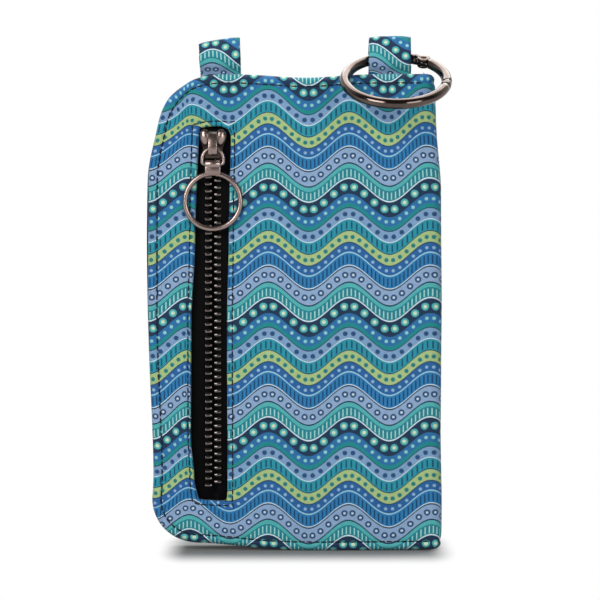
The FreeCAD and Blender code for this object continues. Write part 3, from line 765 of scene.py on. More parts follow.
def make_cover():
    """The folded cloth with its window and its turned edges.

    Spot holds u, v and how far a point is turned in.
    """
    sheet, places = ruled_grid(cloth_columns, cloth_rows)
    spot = sheet.verts.layers.float_vector.new("spot")
    for point, place in zip(sheet.verts, places):
        point[spot] = (*place, 0)
    hole = [
        face for face in sheet.faces
        if outside_of(*(sum((p[spot] for p in face.verts), Vector()) / 4).xy, WINDOW) < 0
    ]
    bmesh.ops.delete(sheet, geom=hole, context="FACES")
    for point in sheet.verts:
        point.co, _ = cloth_at(*point[spot].xy)
    rim = [edge for edge in sheet.edges if edge.is_boundary]
    done = 0.0
    for share in (FIRST_TURN, 1.0):
        rim, points = drawn_on(sheet, rim)
        for point in points:
            u, v = point[spot].xy
            depth = turn_depth(u, v)
            _, out = fold(*lay(u, v))
            point.co -= out * depth * (share - done) * MM
            point[spot].z = depth * share
        done = share

    def flat_of(point):
        u, v, turned = point[spot]
        past = off_edge(u, v) * turned if turned else Vector((0, 0))
        return (Vector(lay(u, v)) + past) * MM

    map_cloth(sheet, flat_of)
    bmesh.ops.recalc_face_normals(sheet, faces=sheet.faces)
    nodes = ["front_panel", "spine_panel", "back_panel"]
    return finish_piece("cover", sheet, printed_cotton, nodes)


cover = make_cover()
thicken(cover, COVER_THICK)

# %% [markdown]
# ## Stitches
#
# A line of topstitching runs a little inside the edge, round the zip window and along the mouth of
# the phone pocket. A line drawn by the material would be flat, so each stitch is a small thread of
# its own that lies in the groove of its seam. It is a stretched ball with few faces, because there
# are some hundreds of them. The thread round the zip lies lower, out of the way of the pull ring.

# %% Sewing
STITCH = 2.5
STITCH_GAP = 0.25
THREAD_WIDE = 0.3
RAISED = 0.28
RAISED_AT_ZIP = 0.08


def turned_to(place, x, y, z):
    """The matrix that lays the three axes along given directions and moves to a place."""
    return Matrix.Translation(place) @ Matrix((x, y, z)).transposed().to_4x4()


def walk(places, step):
    """Evenly spaced places along a line, with the direction at each. Takes (place, facing) pairs."""
    done, target = 0.0, step / 2
    for (start, out), (end, _) in zip(places, places[1:]):
        run = (end - start).length
        while run > 0 and target <= done + run:
            yield start.lerp(end, (target - done) / run), (end - start).normalized(), out
            target += step
        done += run


def sampled(corners, count=400):
    """Many places along straight runs between corners of the flat cloth."""
    runs = list(zip(corners, corners[1:]))
    total = sum(math.dist(a, b) for a, b in runs)
    flat = []
    for a, b in runs:
        steps = max(2, round(count * math.dist(a, b) / total))
        flat += [(a[0] + (b[0] - a[0]) * i / steps, a[1] + (b[1] - a[1]) * i / steps) for i in range(steps)]
    return flat + [corners[-1]]


def sew(name, lines):
    """One piece with a row of stitches along each line of (place, facing) pairs."""
    threads = bmesh.new()
    size = Matrix.Diagonal((STITCH / 2 * MM, THREAD_WIDE * MM, THREAD_WIDE * MM, 1))
    lying = size @ Matrix.Rotation(math.pi / 2, 4, "Y")
    count = 0
    for line in lines:
        for place, along, out in walk(line, (STITCH + STITCH_GAP) * MM):
            aside = out.cross(along).normalized()
            bmesh.ops.create_uvsphere(
                threads, u_segments=6, v_segments=4, radius=1.0,
                matrix=turned_to(place, along, aside, along.cross(aside)) @ lying,
            )
            count += 1
    print(f"{name}: {count} stitches")
    return finish_piece(name, threads, sewing_thread, [])


def on_cloth(corners, raised):
    """A line on the cover, from corners of the flat cloth, with the thread partly sunk."""
    return [cloth_at(u, v, raised) for u, v in sampled(corners)]


# %% The cover's stitches
low, high = SEAM, TALL - SEAM
near_fold = FRONT_SPAN - 1.0
past_fold = REAR_AT + TURN
far_edge = CLOTH - SEAM
box_left, box_right, box_foot, box_top = BOX
box_corners = [(box_left, box_foot), (box_right, box_foot), (box_right, box_top), (box_left, box_top)]
edge_stitches = sew("edge_stitches", [
    on_cloth([(near_fold, high), (SEAM, high), (SEAM, low), (near_fold, low)], RAISED),
    on_cloth(box_corners + box_corners[:1], RAISED_AT_ZIP),
    on_cloth([(past_fold, high), (far_edge, high), (far_edge, low), (past_fold, low)], RAISED),
])

# %% [markdown]
# ## The black layers
#
# Behind the front come a thin pocket lining, the wall between the two pockets, a gusset that gives the
# phone pocket its depth, and the pocket's two linings. They show as black lines along the edges and
# inside the mouth. Each layer is a grid with the pouch's outline, made a closed slab by a Solidify
# modifier. The gusset is a strip that is drawn in a little along its middle, as a bellows is.

# %% Flat layers
LAYER_STEPS = [0.5, 1.2, 2.4]
LAYER_GAP = 3.0
RIPPLE = 0.12
# Where the left edge of a layer strays most: its height, and how far that reaches up and down and inwards
STRAY_Z = 120
STRAY_TALL = 42
STRAY_WIDE = 3


def turned_out(sheet, face, way):
    """Turns the faces of a sheet all alike, so that one of them looks a given way."""
    bmesh.ops.recalc_face_normals(sheet, faces=sheet.faces)
    if face.normal.dot(way) < 0:
        bmesh.ops.reverse_faces(sheet, faces=sheet.faces)


def layer_lines(span):
    """Lines across a layer, closer together at its edges."""
    return ruled([0, *LAYER_STEPS, *(span - s for s in reversed(LAYER_STEPS)), span], LAYER_GAP)


def make_layer(name, node, y, thick, sides, ends, corners, past=0.0):
    """A layer of black cloth that faces the front.

    Sides and ends are the places of its edges, corners the radii at its lower left and upper left.
    Past is how far its left edge strays beyond its line, most at two thirds of the height.
    """
    wide, tall = sides[1] - sides[0], ends[1] - ends[0]
    sheet, places = ruled_grid(layer_lines(wide), layer_lines(tall))
    for point, place in zip(sheet.verts, places):
        a, b = rounded(*place, corners[0])
        a, down = rounded(a, tall - b, corners[1])
        z = ends[1] - down
        ripple = RIPPLE * noise.noise(Vector((a, b, y)) / 14)
        stray = past * dip(z - STRAY_Z, STRAY_TALL) * smooth(1 - a / STRAY_WIDE)
        point.co = settle(Vector((sides[0] + a - stray, y + ripple, z))) * MM
    map_cloth(sheet, lambda point: point.co.xz)
    turned_out(sheet, next(iter(sheet.faces)), Vector((0, -1, 0)))
    piece = finish_piece(name, sheet, black_cotton, [node])
    thicken(piece, thick)
    return piece


# %% The pocket's lining, the wall and the phone pocket's linings
pocket_backing = make_layer(
    "pocket_backing", "pocket_lining", y=-4.2, thick=0.5, sides=(LEFT + 1.0, RIGHT - 1.5),
    ends=(1.0, TALL - 1.0), corners=(CORNER - 1, CORNER - 1),
)
middle_wall = make_layer(
    "middle_wall", "middle_panel", y=-3.6, thick=2.9, sides=(LEFT + 0.2, RIGHT - 1.0),
    ends=(0.2, TALL - 0.3), corners=(CORNER, CORNER), past=0.9,
)
LININGS = [("front_facing", "front_phone_lining", -0.6), ("back_facing", "back_phone_lining", 7.75)]
linings = [
    make_layer(
        name, node, y=y, thick=0.5, sides=(LEFT + 1.7, RIGHT - 2.6),
        ends=(1.8, BACK_TALL - 0.4), corners=(CORNER - 1.7, 1.0),
    )
    for name, node, y in LININGS
]

# %% The wall's stitches
WALL_BACK = -0.63
WALL_SEAM_FROM = RIGHT - 4.0


def arc(middle, radius, start, end, steps):
    """Places along an arc, with both its ends."""
    angles = [start + (end - start) * i / steps for i in range(steps + 1)]
    return [(middle[0] + radius * math.cos(a), middle[1] + radius * math.sin(a)) for a in angles]


def wall_line():
    """The seam's line on the back of the wall, from the fold round the left corner to the pocket's mouth."""
    turn = (LEFT + CORNER, TALL - CORNER)
    places = sampled([(WALL_SEAM_FROM, TALL - SEAM), (turn[0], TALL - SEAM)], 40)
    places += arc(turn, CORNER - SEAM, math.pi / 2, math.pi, 18)
    return [(settle(Vector((x, WALL_BACK, z))) * MM, Vector((0, 1, 0))) for x, z in places]


wall_stitches = sew("wall_stitches", [wall_line()])

# %% The gusset
GUSSET_FRONT = -0.6
GUSSET_DEEP = 8.9
GUSSET_THICK = 1.2
GUSSET_STEPS = 8
DRAWN = 1.5
DRAWN_FROM_MOUTH = 8


def make_strip(path, step, steps):
    """A strip of cloth: a line of points that is drawn on in even steps."""
    strip = bmesh.new()
    points = [strip.verts.new(place) for place in path]
    line = [strip.edges.new(pair) for pair in zip(points, points[1:])]
    for _ in range(steps):
        line, points = drawn_on(strip, line)
        bmesh.ops.translate(strip, verts=points, vec=step)
    strip.verts.index_update()
    strip.normal_update()
    return strip


def middle_height(face):
    """How high the middle of a face is."""
    return face.calc_center_median().z


def make_gusset():
    """A strip down the left side and along the base, drawn in along its middle."""
    ends = [(0.0, BACK_TALL - 0.3), (0.0, CORNER), (0.0, 0.0), (CORNER, 0.0), (RIGHT - LEFT - 2.6, 0.0)]
    route = [rounded(a, b, CORNER) for a, b in sampled(ends, 110)]
    path = [(LEFT + a, GUSSET_FRONT, b) for a, b in route]
    strip = make_strip(path, (0, GUSSET_DEEP / GUSSET_STEPS, 0), GUSSET_STEPS)
    map_cloth(strip, lambda point: Vector((point.co.y, point.co.z - point.co.x)) * MM)
    for point in strip.verts:
        t = (point.co.y - GUSSET_FRONT) / GUSSET_DEEP
        inward = Vector((point.co.x < LEFT + CORNER, 0, point.co.z < CORNER)).normalized()
        drawn = DRAWN * math.sin(math.pi * smooth(t)) * smooth((BACK_TALL - point.co.z) / DRAWN_FROM_MOUTH)
        point.co = settle(point.co + inward * (drawn + 0.1)) * MM
    turned_out(strip, min(strip.faces, key=middle_height), Vector((0, 0, -1)))
    piece = finish_piece("side_gusset", strip, black_cotton, ["gusset"])
    thicken(piece, GUSSET_THICK)
    return piece


side_gusset = make_gusset()

# %% [markdown]
# ## Strap loops
#
# Each loop is a strap of the printed cloth, folded over and sewn in behind the top edge. A strip of
# points follows the fold, from the seam up over the top and down again, and is extruded across the
# strap's width. The left one hangs free, so it leans and twists a little, as in the photograph. The
# right one carries the ring and stands straight.

# %% Straps
STRAP_Y = -2.45
STRAP_THICK = 0.9
STRAP_STEPS = 12
# How far the strap is sewn in below the top edge, and where its two sides part
TAIL = 8.0
PARTING = 0.8
# The belly of the loop: how high its middle lies over the top edge, and its radius. The crest is smaller
BELLY_UP = 5.8
BELLY = 5.0
CREST = 2.1
# How far the edges of the crest drop, and how far along the print each strap is cut
CREST_DROP = 0.5
CUT_AT = (31.0, 12.0)


def drop_path(top):
    """The strap seen from the side: straight up to its foot, out round the belly and over a small crest."""
    belly, foot, end = TALL + BELLY_UP, TALL - PARTING, TALL - TAIL
    high = math.asin((BELLY - CREST) / (top - CREST - belly))
    low = math.acos(BELLY / (belly - foot)) - math.pi / 2
    half = STRAP_THICK
    right = [(half, end), (half, (end + foot) / 2), (half, foot + half / math.tan(-low))]
    right += arc((0, belly), BELLY, low, high, 10)
    right += arc((0, top - CREST), CREST, high, math.pi / 2, 6)
    return right + [(-y, z) for y, z in reversed(right[:-1])]


def make_strap(name, node, middle, tall, wide, lean, slant):
    """A strap loop. Lean moves its crest to the left, slant lifts its crest at the right."""
    side = drop_path(TALL + tall)
    run = [0.0]
    for place, after in zip(side, side[1:]):
        run.append(run[-1] + math.dist(place, after))
    path = [(middle - wide / 2, STRAP_Y + y, z) for y, z in side]
    strip = make_strip(path, (wide / STRAP_STEPS, 0, 0), STRAP_STEPS)
    cut = Vector(CUT_AT)
    map_cloth(strip, lambda point: (Vector((point.co.x, run[point.index % len(run)])) + cut) * MM)
    for point in strip.verts:
        rise = smooth((point.co.z - TALL) / 15)
        aside = (point.co.x - middle) / wide
        point.co.z += slant * rise * aside - CREST_DROP * rise * (abs(aside) * 2)**4
        point.co.x += -lean * rise + 0.25 * noise.noise(point.co / 9)
        point.co.y += slant * 0.35 * rise * aside + 0.06 * noise.noise(point.co / 6)
        point.co *= MM
    turned_out(strip, max(strip.faces, key=middle_height), Vector((0, 0, 1)))
    piece = finish_piece(name, strip, printed_cotton, [node])
    thicken(piece, STRAP_THICK)
    return piece


left_strap = make_strap("left_strap", "left_loop", middle=-27.7, tall=13.2, wide=15.4, lean=0.6, slant=2.6)
right_strap = make_strap("right_strap", "right_loop", middle=36.2, tall=14.5, wide=16.0, lean=0.0, slant=0.3)

# %% [markdown]
# ## Zip tapes
#
# The tapes are plain woven strips behind the window, a little rounded along their long edges. A cube
# stretched to the place of its solid and bevelled there is enough, because the weave does the rest.

# %% Tapes
TAPE_ROUND = 0.25


def fitted(low, high):
    """The matrix that stretches a cube of size 1 to a box between two corners."""
    middle = [(a + b) / 2 for a, b in zip(low, high)]
    spans = [b - a for a, b in zip(low, high)]
    return Matrix.Translation(middle) @ Matrix.Diagonal((*spans, 1))


def soften(target, edges, offset, segments=3):
    """Rounds edges over."""
    bmesh.ops.bevel(
        target, geom=edges, offset=offset, offset_type="OFFSET", affect="EDGES", segments=segments,
        profile=0.5, material=-1,
    )


def make_tape(name, node):
    """A woven strip with softened edges, in the place of its solid."""
    low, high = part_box(node)
    strip = bmesh.new()
    bmesh.ops.create_cube(strip, size=1.0, matrix=fitted(low, high))
    tall = high[2] - low[2]
    long_edges = [e for e in strip.edges if abs(e.verts[0].co.z - e.verts[1].co.z) > 0.5 * tall]
    soften(strip, long_edges, TAPE_ROUND * MM)
    map_cloth(strip, lambda point: (point.co.x + point.co.z, point.co.z - point.co.x))
    return finish_piece(name, strip, zip_weave, [node])


left_tape = make_tape("left_tape", "zip_tape_left")
right_tape = make_tape("right_tape", "zip_tape_right")

# %% [markdown]
# ## Gunmetal
#
# The metal is plated in gunmetal, a dark brown-grey with warm highlights. A metal's colour tints its
# reflections, so the base colour stays dark and warm. The carrier ring is polished, the zip's teeth
# have much the same polish in a lighter tone, and the pull is a paler satin. The slider's plates have
# the ring's polish in a darker tone, which is painted shade, and the slider's wings and crown take the
# pull's paler metal as a painted highlight. Handling leaves faint smears, which a group makes from two
# sizes of noise. It gives the fine specks that break up a large highlight as well.

# %% Metal finishes
SMEARS = 160.0
SMEAR_DETAIL = 4.0
GRAIN = 2600.0
GRAIN_DETAIL = 2.0
GRAIN_DEEP = 0.05


def make_smears():
    tree, start, end = new_group("smears", ["Place", "Polished", "Dulled"], ["Tone", "Roughness", "Height"])
    place, polished, dulled = (start.outputs[name] for name in ("Place", "Polished", "Dulled"))
    broad = add(tree, "ShaderNodeTexNoise", place, None, SMEARS, SMEAR_DETAIL).outputs[0]
    fine = add(tree, "ShaderNodeTexNoise", place, None, GRAIN, GRAIN_DETAIL).outputs[0]
    spread = math_node(tree, "SUBTRACT", dulled, polished)
    rough = math_node(tree, "MULTIPLY_ADD", broad, spread, polished)
    fill(tree, end, {"Tone": broad, "Roughness": rough, "Height": fine})
    return tree


smears = make_smears()


def make_metal(name, dark, light, polished, dulled, bump):
    """A plated metal between two tones and two grades of polish."""
    material, tree, shader = new_material(name)
    place = add(tree, "ShaderNodeTexCoord").outputs["Object"]
    marks = use_group(tree, smears, {"Place": place, "Polished": polished, "Dulled": dulled})
    tone = mixed(tree, marks.outputs["Tone"], colour(dark), colour(light))
    fill(tree, shader, {"Base Color": tone, "Roughness": marks.outputs["Roughness"], "Metallic": 1.0})
    bumped(tree, shader, marks.outputs["Height"], bump, GRAIN_DEEP)
    return material


gunmetal = make_metal("gunmetal", "#3e3533", "#6e615a", polished=0.06, dulled=0.16, bump=0.1)
tooth_metal = make_metal("tooth_metal", "#4c4644", "#857d7a", polished=0.08, dulled=0.2, bump=0.12)
# The pull's paler satin, which also paints a highlight on the slider's wings and crown
pull_and_highlight_metal = make_metal("pull_and_highlight_metal", "#7d6c67", "#a8958e", polished=0.2, dulled=0.32, bump=0.1)
# A darker copy of the gunmetal, painted shade on the slider's plates
shaded_shell_metal = make_metal("shaded_shell_metal", "#2e2725", "#4e4440", polished=0.06, dulled=0.16, bump=0.1)
print("metal finishes:", gunmetal.name, tooth_metal.name, pull_and_highlight_metal.name, shaded_shell_metal.name)

# %% [markdown]
# ## Teeth
#
# A tooth grips its tape at one end and meets the other row with a narrower head. It is a short bar of
# oval section, laid across the tape, so that it catches the light as one thin bright line. The row
# repeats it at the pitch of the zip.

# %% Rows of teeth
PITCH = 2.65
HEAD_SHARE = 0.8
OVAL_SHARE = 0.24
TOOTH_ROUND = 0.18


def make_teeth(name, node, side):
    """One row of teeth in the place of its solids. Side is 1 where the tape lies to the right."""
    low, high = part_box(node)
    wide, deep = high[0] - low[0], high[1] - low[1]
    count = round((high[2] - low[2]) / (PITCH * MM))
    tall = high[2] - low[2] - (count - 1) * PITCH * MM
    middle = [(a + b) / 2 for a, b in zip(low, high)]
    lying = Matrix.Rotation(math.radians(90) * side, 4, "Y")
    oval = Matrix.Diagonal((wide, deep / 2, OVAL_SHARE * tall, 1))
    row = bmesh.new()
    for i in range(count):
        place = Matrix.Translation((middle[0], middle[1], low[2] + tall / 2 + i * PITCH * MM))
        made = bmesh.ops.create_cone(
            row, cap_ends=True, segments=16, radius1=HEAD_SHARE, radius2=1.0, depth=1.0,
            matrix=place @ oval @ lying,
        )
        points = set(made["verts"])
        rims = [edge for edge in row.edges if edge.verts[0] in points and edge.calc_face_angle(0) > 1.2]
        soften(row, rims, TOOTH_ROUND * MM, segments=2)
    bmesh.ops.recalc_face_normals(row, faces=row.faces)
    print(f"{name}: {count} teeth")
    return finish_piece(name, row, tooth_metal, [node])


left_teeth = make_teeth("left_teeth", "zip_teeth_left", -1)
right_teeth = make_teeth("right_teeth", "zip_teeth_right", 1)

# %% [markdown]
# ## Pull and rings
#
# The finger ring, the stirrup and the carrier ring are bent from round wire. A circle of points spun
# about an axis makes such a wire at once, and a spin of less than a full turn makes the gate. The
# stirrup has straight runs too, so its circle is extruded from place to place along the wire. The
# finger ring's tab is a block with rounded edges, and its knuckle the outline of a wall, spun about
# the stirrup's bar.


# %% Bent wire
def edges_at(points):
    """All the edges that meet at given points."""
    return list({edge for point in points for edge in point.link_edges})


def spun(target, centre, axis, start, wire, angle, steps, section):
    """Spins a circle of wire about an axis through a centre. Start is the middle of the first circle."""
    radial = (start - centre).normalized()
    ring = bmesh.ops.create_circle(
        target, cap_ends=False, radius=wire, segments=section,
        matrix=turned_to(start, radial, axis, radial.cross(axis)),
    )["verts"]
    edges = edges_at(ring)
    full = abs(angle) > 2 * math.pi - 1e-6
    made = bmesh.ops.spin(
        target, geom=ring + edges, cent=centre, axis=axis, angle=angle, steps=steps,
        use_merge=full, use_duplicate=False,
    )
    if not full:
        last = [item for item in made["geom_last"] if isinstance(item, bmesh.types.BMEdge)]
        bmesh.ops.contextual_create(target, geom=edges)
        bmesh.ops.contextual_create(target, geom=last)
    bmesh.ops.recalc_face_normals(target, faces=target.faces)


def rounded_block(target, low, high, offset):
    """A block between two corners with rounded edges."""
    made = bmesh.ops.create_cube(target, size=1.0, matrix=fitted(low, high))
    soften(target, edges_at(made["verts"]), offset)


def trimmed(body, place, keep):
    """Cuts a closed form at a plane, keeps the side that a direction points to and closes the cut."""
    cut = bmesh.ops.bisect_plane(
        body, geom=body.verts[:] + body.edges[:] + body.faces[:], plane_co=place, plane_no=keep,
        clear_inner=True, dist=1e-7,
    )
    edges = [item for item in cut["geom_cut"] if isinstance(item, bmesh.types.BMEdge)]
    bmesh.ops.holes_fill(body, edges=edges)
    bmesh.ops.recalc_face_normals(body, faces=body.faces)
    return body


def joined(parts):
    """Puts several bmeshes into one."""
    whole = bmesh.new()
    for part in parts:
        mesh = bpy.data.meshes.new("part")
        part.to_mesh(mesh)
        part.free()
        whole.from_mesh(mesh)
        bpy.data.meshes.remove(mesh)
    return whole


# %% The finger ring
PULL_X = -30.5
PULL_Y = -11.95
BAR_Z = 146.0
RING_Z = 132.1
RING_REACH = 10.4
RING_WIRE = 1.0
# The tab: half its width, its front, its back and how far it stays under the bar
TAB_HALF = 2.95
TAB_FRONT = 1.25
TAB_BACK = 0.1
TAB_UNDER = 0.4
# The knuckle's wall, as places along the bar and away from it
KNUCKLE = [(0, 1.12), (5.9, 1.12), (5.9, 1.4), (5.6, 1.7), (0.3, 1.7), (0, 1.4)]


def make_finger_ring():
    """The ring, its tab and the knuckle that turns on the stirrup's bar."""
    cast = bmesh.new()
    middle = Vector((PULL_X, PULL_Y, RING_Z)) * MM
    first = middle + Vector((RING_REACH * MM, 0, 0))
    spun(cast, middle, Vector((0, 1, 0)), first, RING_WIRE * MM, 2 * math.pi, 80, 24)
    rounded_block(
        cast, Vector((PULL_X - TAB_HALF, PULL_Y - TAB_FRONT, RING_Z + 10.1)) * MM,
        Vector((PULL_X + TAB_HALF, PULL_Y - TAB_BACK, BAR_Z - TAB_UNDER)) * MM, 0.3 * MM,
    )
    knuckle = bmesh.new()
    start = Vector((PULL_X - TAB_HALF, PULL_Y, BAR_Z)) * MM
    outline = [knuckle.verts.new(start + Vector((x, 0, z)) * MM) for x, z in KNUCKLE]
    loop = [knuckle.edges.new(pair) for pair in zip(outline, outline[1:] + outline[:1])]
    bmesh.ops.spin(
        knuckle, geom=outline + loop, cent=start, axis=(1, 0, 0), angle=2 * math.pi, steps=28, use_merge=True,
    )
    bmesh.ops.recalc_face_normals(knuckle, faces=knuckle.faces)
    ring = joined([cast, knuckle])
    return finish_piece("finger_ring", ring, pull_and_highlight_metal, ["pull_ring"], body="pull")


finger_ring = make_finger_ring()

# %% The stirrup
ARCH_Z = 148.0
ARCH_REACH = 4.0
ARCH_CORNER = 1.0
STIRRUP_WIRE = 0.68


def pipe(target, places, wire, section=16):
    """A closed wire through places in order: a circle of points is extruded from each to the next."""
    side = Vector((0, 1, 0))
    frames = []
    for i, place in enumerate(places):
        along = (places[(i + 1) % len(places)] - places[i - 1]).normalized()
        frames.append(turned_to(place, along.cross(side), side, along))
    ring = bmesh.ops.create_circle(target, cap_ends=False, radius=wire, segments=section, matrix=frames[0])
    first = loop = edges_at(ring["verts"])
    for before, after in zip(frames, frames[1:]):
        loop, points = drawn_on(target, loop)
        bmesh.ops.transform(target, verts=points, matrix=after @ before.inverted())
    bmesh.ops.bridge_loops(target, edges=loop + first)
    bmesh.ops.recalc_face_normals(target, faces=target.faces)


def make_stirrup():
    """An arch that hangs in the slider's crown, with a bar across its foot for the finger ring."""
    route = arc((0, ARCH_Z), ARCH_REACH, 0, math.pi, 16)
    for side, start in ((-1, math.pi), (1, 1.5 * math.pi)):
        middle = (side * (ARCH_REACH - ARCH_CORNER), BAR_Z + ARCH_CORNER)
        route += arc(middle, ARCH_CORNER, start, start + math.pi / 2, 5)
    wire = bmesh.new()
    pipe(wire, [Vector((PULL_X + x, PULL_Y, z)) * MM for x, z in route], STIRRUP_WIRE * MM)
    return finish_piece("stirrup_wire", wire, pull_and_highlight_metal, ["pull_stirrup"], body="stirrup")


stirrup_wire = make_stirrup()

# %% [markdown]
# ## The slider
#
# Two plates of one outline hold the tapes between them, joined by a neck at the top; their dark metal
# is painted shade. The front plate swells into a wing on each side, which starts as a stretched sphere
# cut at the plate. The crown between the wings is a bent bar with a tunnel behind it, where the stirrup
# hangs. Wings and crown take the paler metal of the pull as a painted highlight, so that they stand out
# from the plates.

# %% Plates and crown
# Half the plates' outline: across, and up from their foot
SLIDER_HALF = [(2.6, 0), (3.3, 0.3), (3.7, 1.0), (3.8, 4.2), (4.3, 5.8), (5.0, 7.4), (5.2, 8.8), (5.0, 10.2),
               (4.3, 11.1), (3.2, 11.5)]
# The crown seen from the side: away from the plate, and up. The second outline is its tunnel
CROWN_OUT = [(0, 149.2), (2.2, 149.2), (3.3, 149.5), (4.0, 150.4), (4.2, 151.6), (4.1, 153.2), (3.6, 155.2),
             (2.9, 156.9), (2.0, 158.1), (0.9, 158.6), (0, 158.6)]
CROWN_IN = [(0, 153.6), (2.2, 153.6), (3.0, 153.2), (3.3, 152.4), (3.3, 151.4), (2.9, 150.7), (2.2, 150.4),
            (0, 150.4)]
CROWN_WIDE = 3.4
PLATE_THICK = 1.2
PLATE_ROUND = 0.3


def plate(points, thickness):
    """A flat plate: an outline of points, drawn out along a vector, with its edges rounded."""
    made = bmesh.new()
    face = made.faces.new([made.verts.new(point) for point in points])
    drawn = bmesh.ops.extrude_face_region(made, geom=[face], use_keep_orig=True)["geom"]
    lifted = [item for item in drawn if isinstance(item, bmesh.types.BMVert)]
    bmesh.ops.translate(made, verts=lifted, vec=thickness)
    rims = [edge for edge in made.edges if edge.verts[0] in lifted and edge.verts[1] in lifted]
    soften(made, list(face.edges) + rims, PLATE_ROUND * MM)
    bmesh.ops.recalc_face_normals(made, faces=made.faces)
    return made


def make_crown():
    """The bent bar over the tunnel, from its outline in y and z."""
    plate_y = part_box("slider_crown")[1][1]
    side_x = (PULL_X - CROWN_WIDE / 2) * MM
    points = [Vector((side_x, plate_y - y * MM, z * MM)) for y, z in CROWN_OUT + CROWN_IN]
    bent = plate(points, Vector((CROWN_WIDE * MM, 0, 0)))
    # The crown takes the pull's paler metal as a painted highlight
    return finish_piece("slider_bridge", bent, pull_and_highlight_metal, ["slider_crown"], body="slider")


# %% Slider with its wings
# A wing: its place beside the middle, in front of the plate and over its foot, its half spans and its lean
WING_AT = (2.75, 0.2, 8.2)
WING_SPANS = (2.15, 1.5, 3.3)
WING_LEAN = math.radians(12)
NECK_HALF = 0.25


def make_wing(side, low):
    """Half a stretched ball on the front plate, in the pull's paler metal as a painted highlight."""
    wing = bmesh.new()
    place = Vector((PULL_X + side * WING_AT[0], low[1] / MM + WING_AT[1], low[2] / MM + WING_AT[2])) * MM
    lean = Matrix.Rotation(side * WING_LEAN, 4, "Y")
    spans = Matrix.Diagonal((*(span * MM for span in WING_SPANS), 1))
    bmesh.ops.create_uvsphere(
        wing, u_segments=28, v_segments=16, radius=1.0, matrix=Matrix.Translation(place) @ lean @ spans
    )
    trimmed(wing, place, Vector((0, -1, 0)))
    # Slot 1 holds the pull's paler metal, a painted highlight on the wing
    for face in wing.faces:
        face.material_index = 1
    return wing


def make_slider():
    """The slider's two plates, its neck and its wings."""
    low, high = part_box("slider_body")
    middle, thick = PULL_X * MM, PLATE_THICK * MM
    half = [Vector((x, 0, z)) * MM for x, z in SLIDER_HALF]
    outline = half + [Vector((-point.x, 0, point.z)) for point in reversed(half)]
    parts = [
        plate([Vector((middle, y, low[2])) + point for point in outline], Vector((0, thick, 0)))
        for y in (low[1], high[1] - thick)
    ]
    neck = bmesh.new()
    rounded_block(
        neck, Vector((middle - NECK_HALF * MM, low[1] + thick / 2, high[2] - 3 * MM)),
        Vector((middle + NECK_HALF * MM, high[1] - thick / 2, high[2] - 0.5 * MM)), 0.05 * MM,
    )
    parts += [neck, make_wing(-1, low), make_wing(1, low)]
    whole = joined(parts)
    # Plates and neck take the darker metal as painted shade; slot 1 gives the wings the paler metal as a
    # painted highlight
    shell = finish_piece("slider_shell", whole, shaded_shell_metal, ["slider_body"], body="slider")
    shell.data.materials.append(pull_and_highlight_metal)
    return shell


slider_shell = make_slider()
slider_bridge = make_crown()

# %% [markdown]
# ## The carrier ring and its gate
#
# The ring opens at a gate, which turns on a rivet between the two cheeks of a fork. The gate's end and
# the ring's lip are cut square to the line from the rivet, so that the gate can swing inwards. The bars
# are spun, and a bisecting plane trims the lip, the gate's end, the cheeks and the flat tongue.

# %% Ring geometry
TILT = math.radians(29.0)
HOOP_MIDDLE = Vector((38.1, -17.851, 177.263)) * MM
HOOP_RIGHT = Vector((1, 0, 0))
HOOP_UP = Vector((0, math.cos(TILT), math.sin(TILT)))
HOOP_AXIS = HOOP_RIGHT.cross(HOOP_UP)
HOOP_REACH = 19.0 * MM
HOOP_WIRE = 2.0 * MM
# Angles round the ring in degrees, from its right side towards the loop
RIVET_AT = 55.0
MOUTH_AT = -8.0
BAR_STEP = 4


def on_hoop(degrees):
    """The middle of the wire at an angle round the ring."""
    angle = math.radians(degrees)
    return HOOP_MIDDLE + (HOOP_RIGHT * math.cos(angle) + HOOP_UP * math.sin(angle)) * HOOP_REACH


RIVET = on_hoop(RIVET_AT)
MOUTH = on_hoop(MOUTH_AT)
MOUTH_OUT = (MOUTH - RIVET).normalized()


def bar(start, end):
    """A bent bar of the ring between two angles, as a bmesh with closed ends."""
    made = bmesh.new()
    steps = max(2, round(abs(end - start) / BAR_STEP))
    spun(made, HOOP_MIDDLE, HOOP_AXIS, on_hoop(start), HOOP_WIRE, math.radians(end - start), steps, 28)
    return made


def disc(radius, low, high):
    """A round plate about the rivet's axis, with softened edges."""
    made = bmesh.new()
    middle = RIVET + HOOP_AXIS * (low + high) / 2
    bmesh.ops.create_cone(
        made, cap_ends=True, segments=28, radius1=radius, radius2=radius, depth=high - low,
        matrix=turned_to(middle, HOOP_RIGHT, HOOP_UP, HOOP_AXIS),
    )
    rims = [edge for edge in made.edges if len(edge.link_faces) == 2 and edge.calc_face_angle() > 1]
    soften(made, rims, 0.15 * MM, segments=2)
    return made


print("rivet at, in mm:", [round(c / MM, 1) for c in RIVET])

# %% Ring, gate and rivet
# The cheeks of the fork lie between two distances from the ring's middle plane, the tongue inside them
CHEEK = (1.0 * MM, 1.85 * MM)
TONGUE = 0.7 * MM
FORK_REACH = 2.4 * MM
EYE_REACH = 2.1 * MM
STEM_REACH = 0.58 * MM
HEAD_SPANS = (1.15 * MM, 1.15 * MM, 0.55 * MM)
MOUTH_GAP = 0.3 * MM


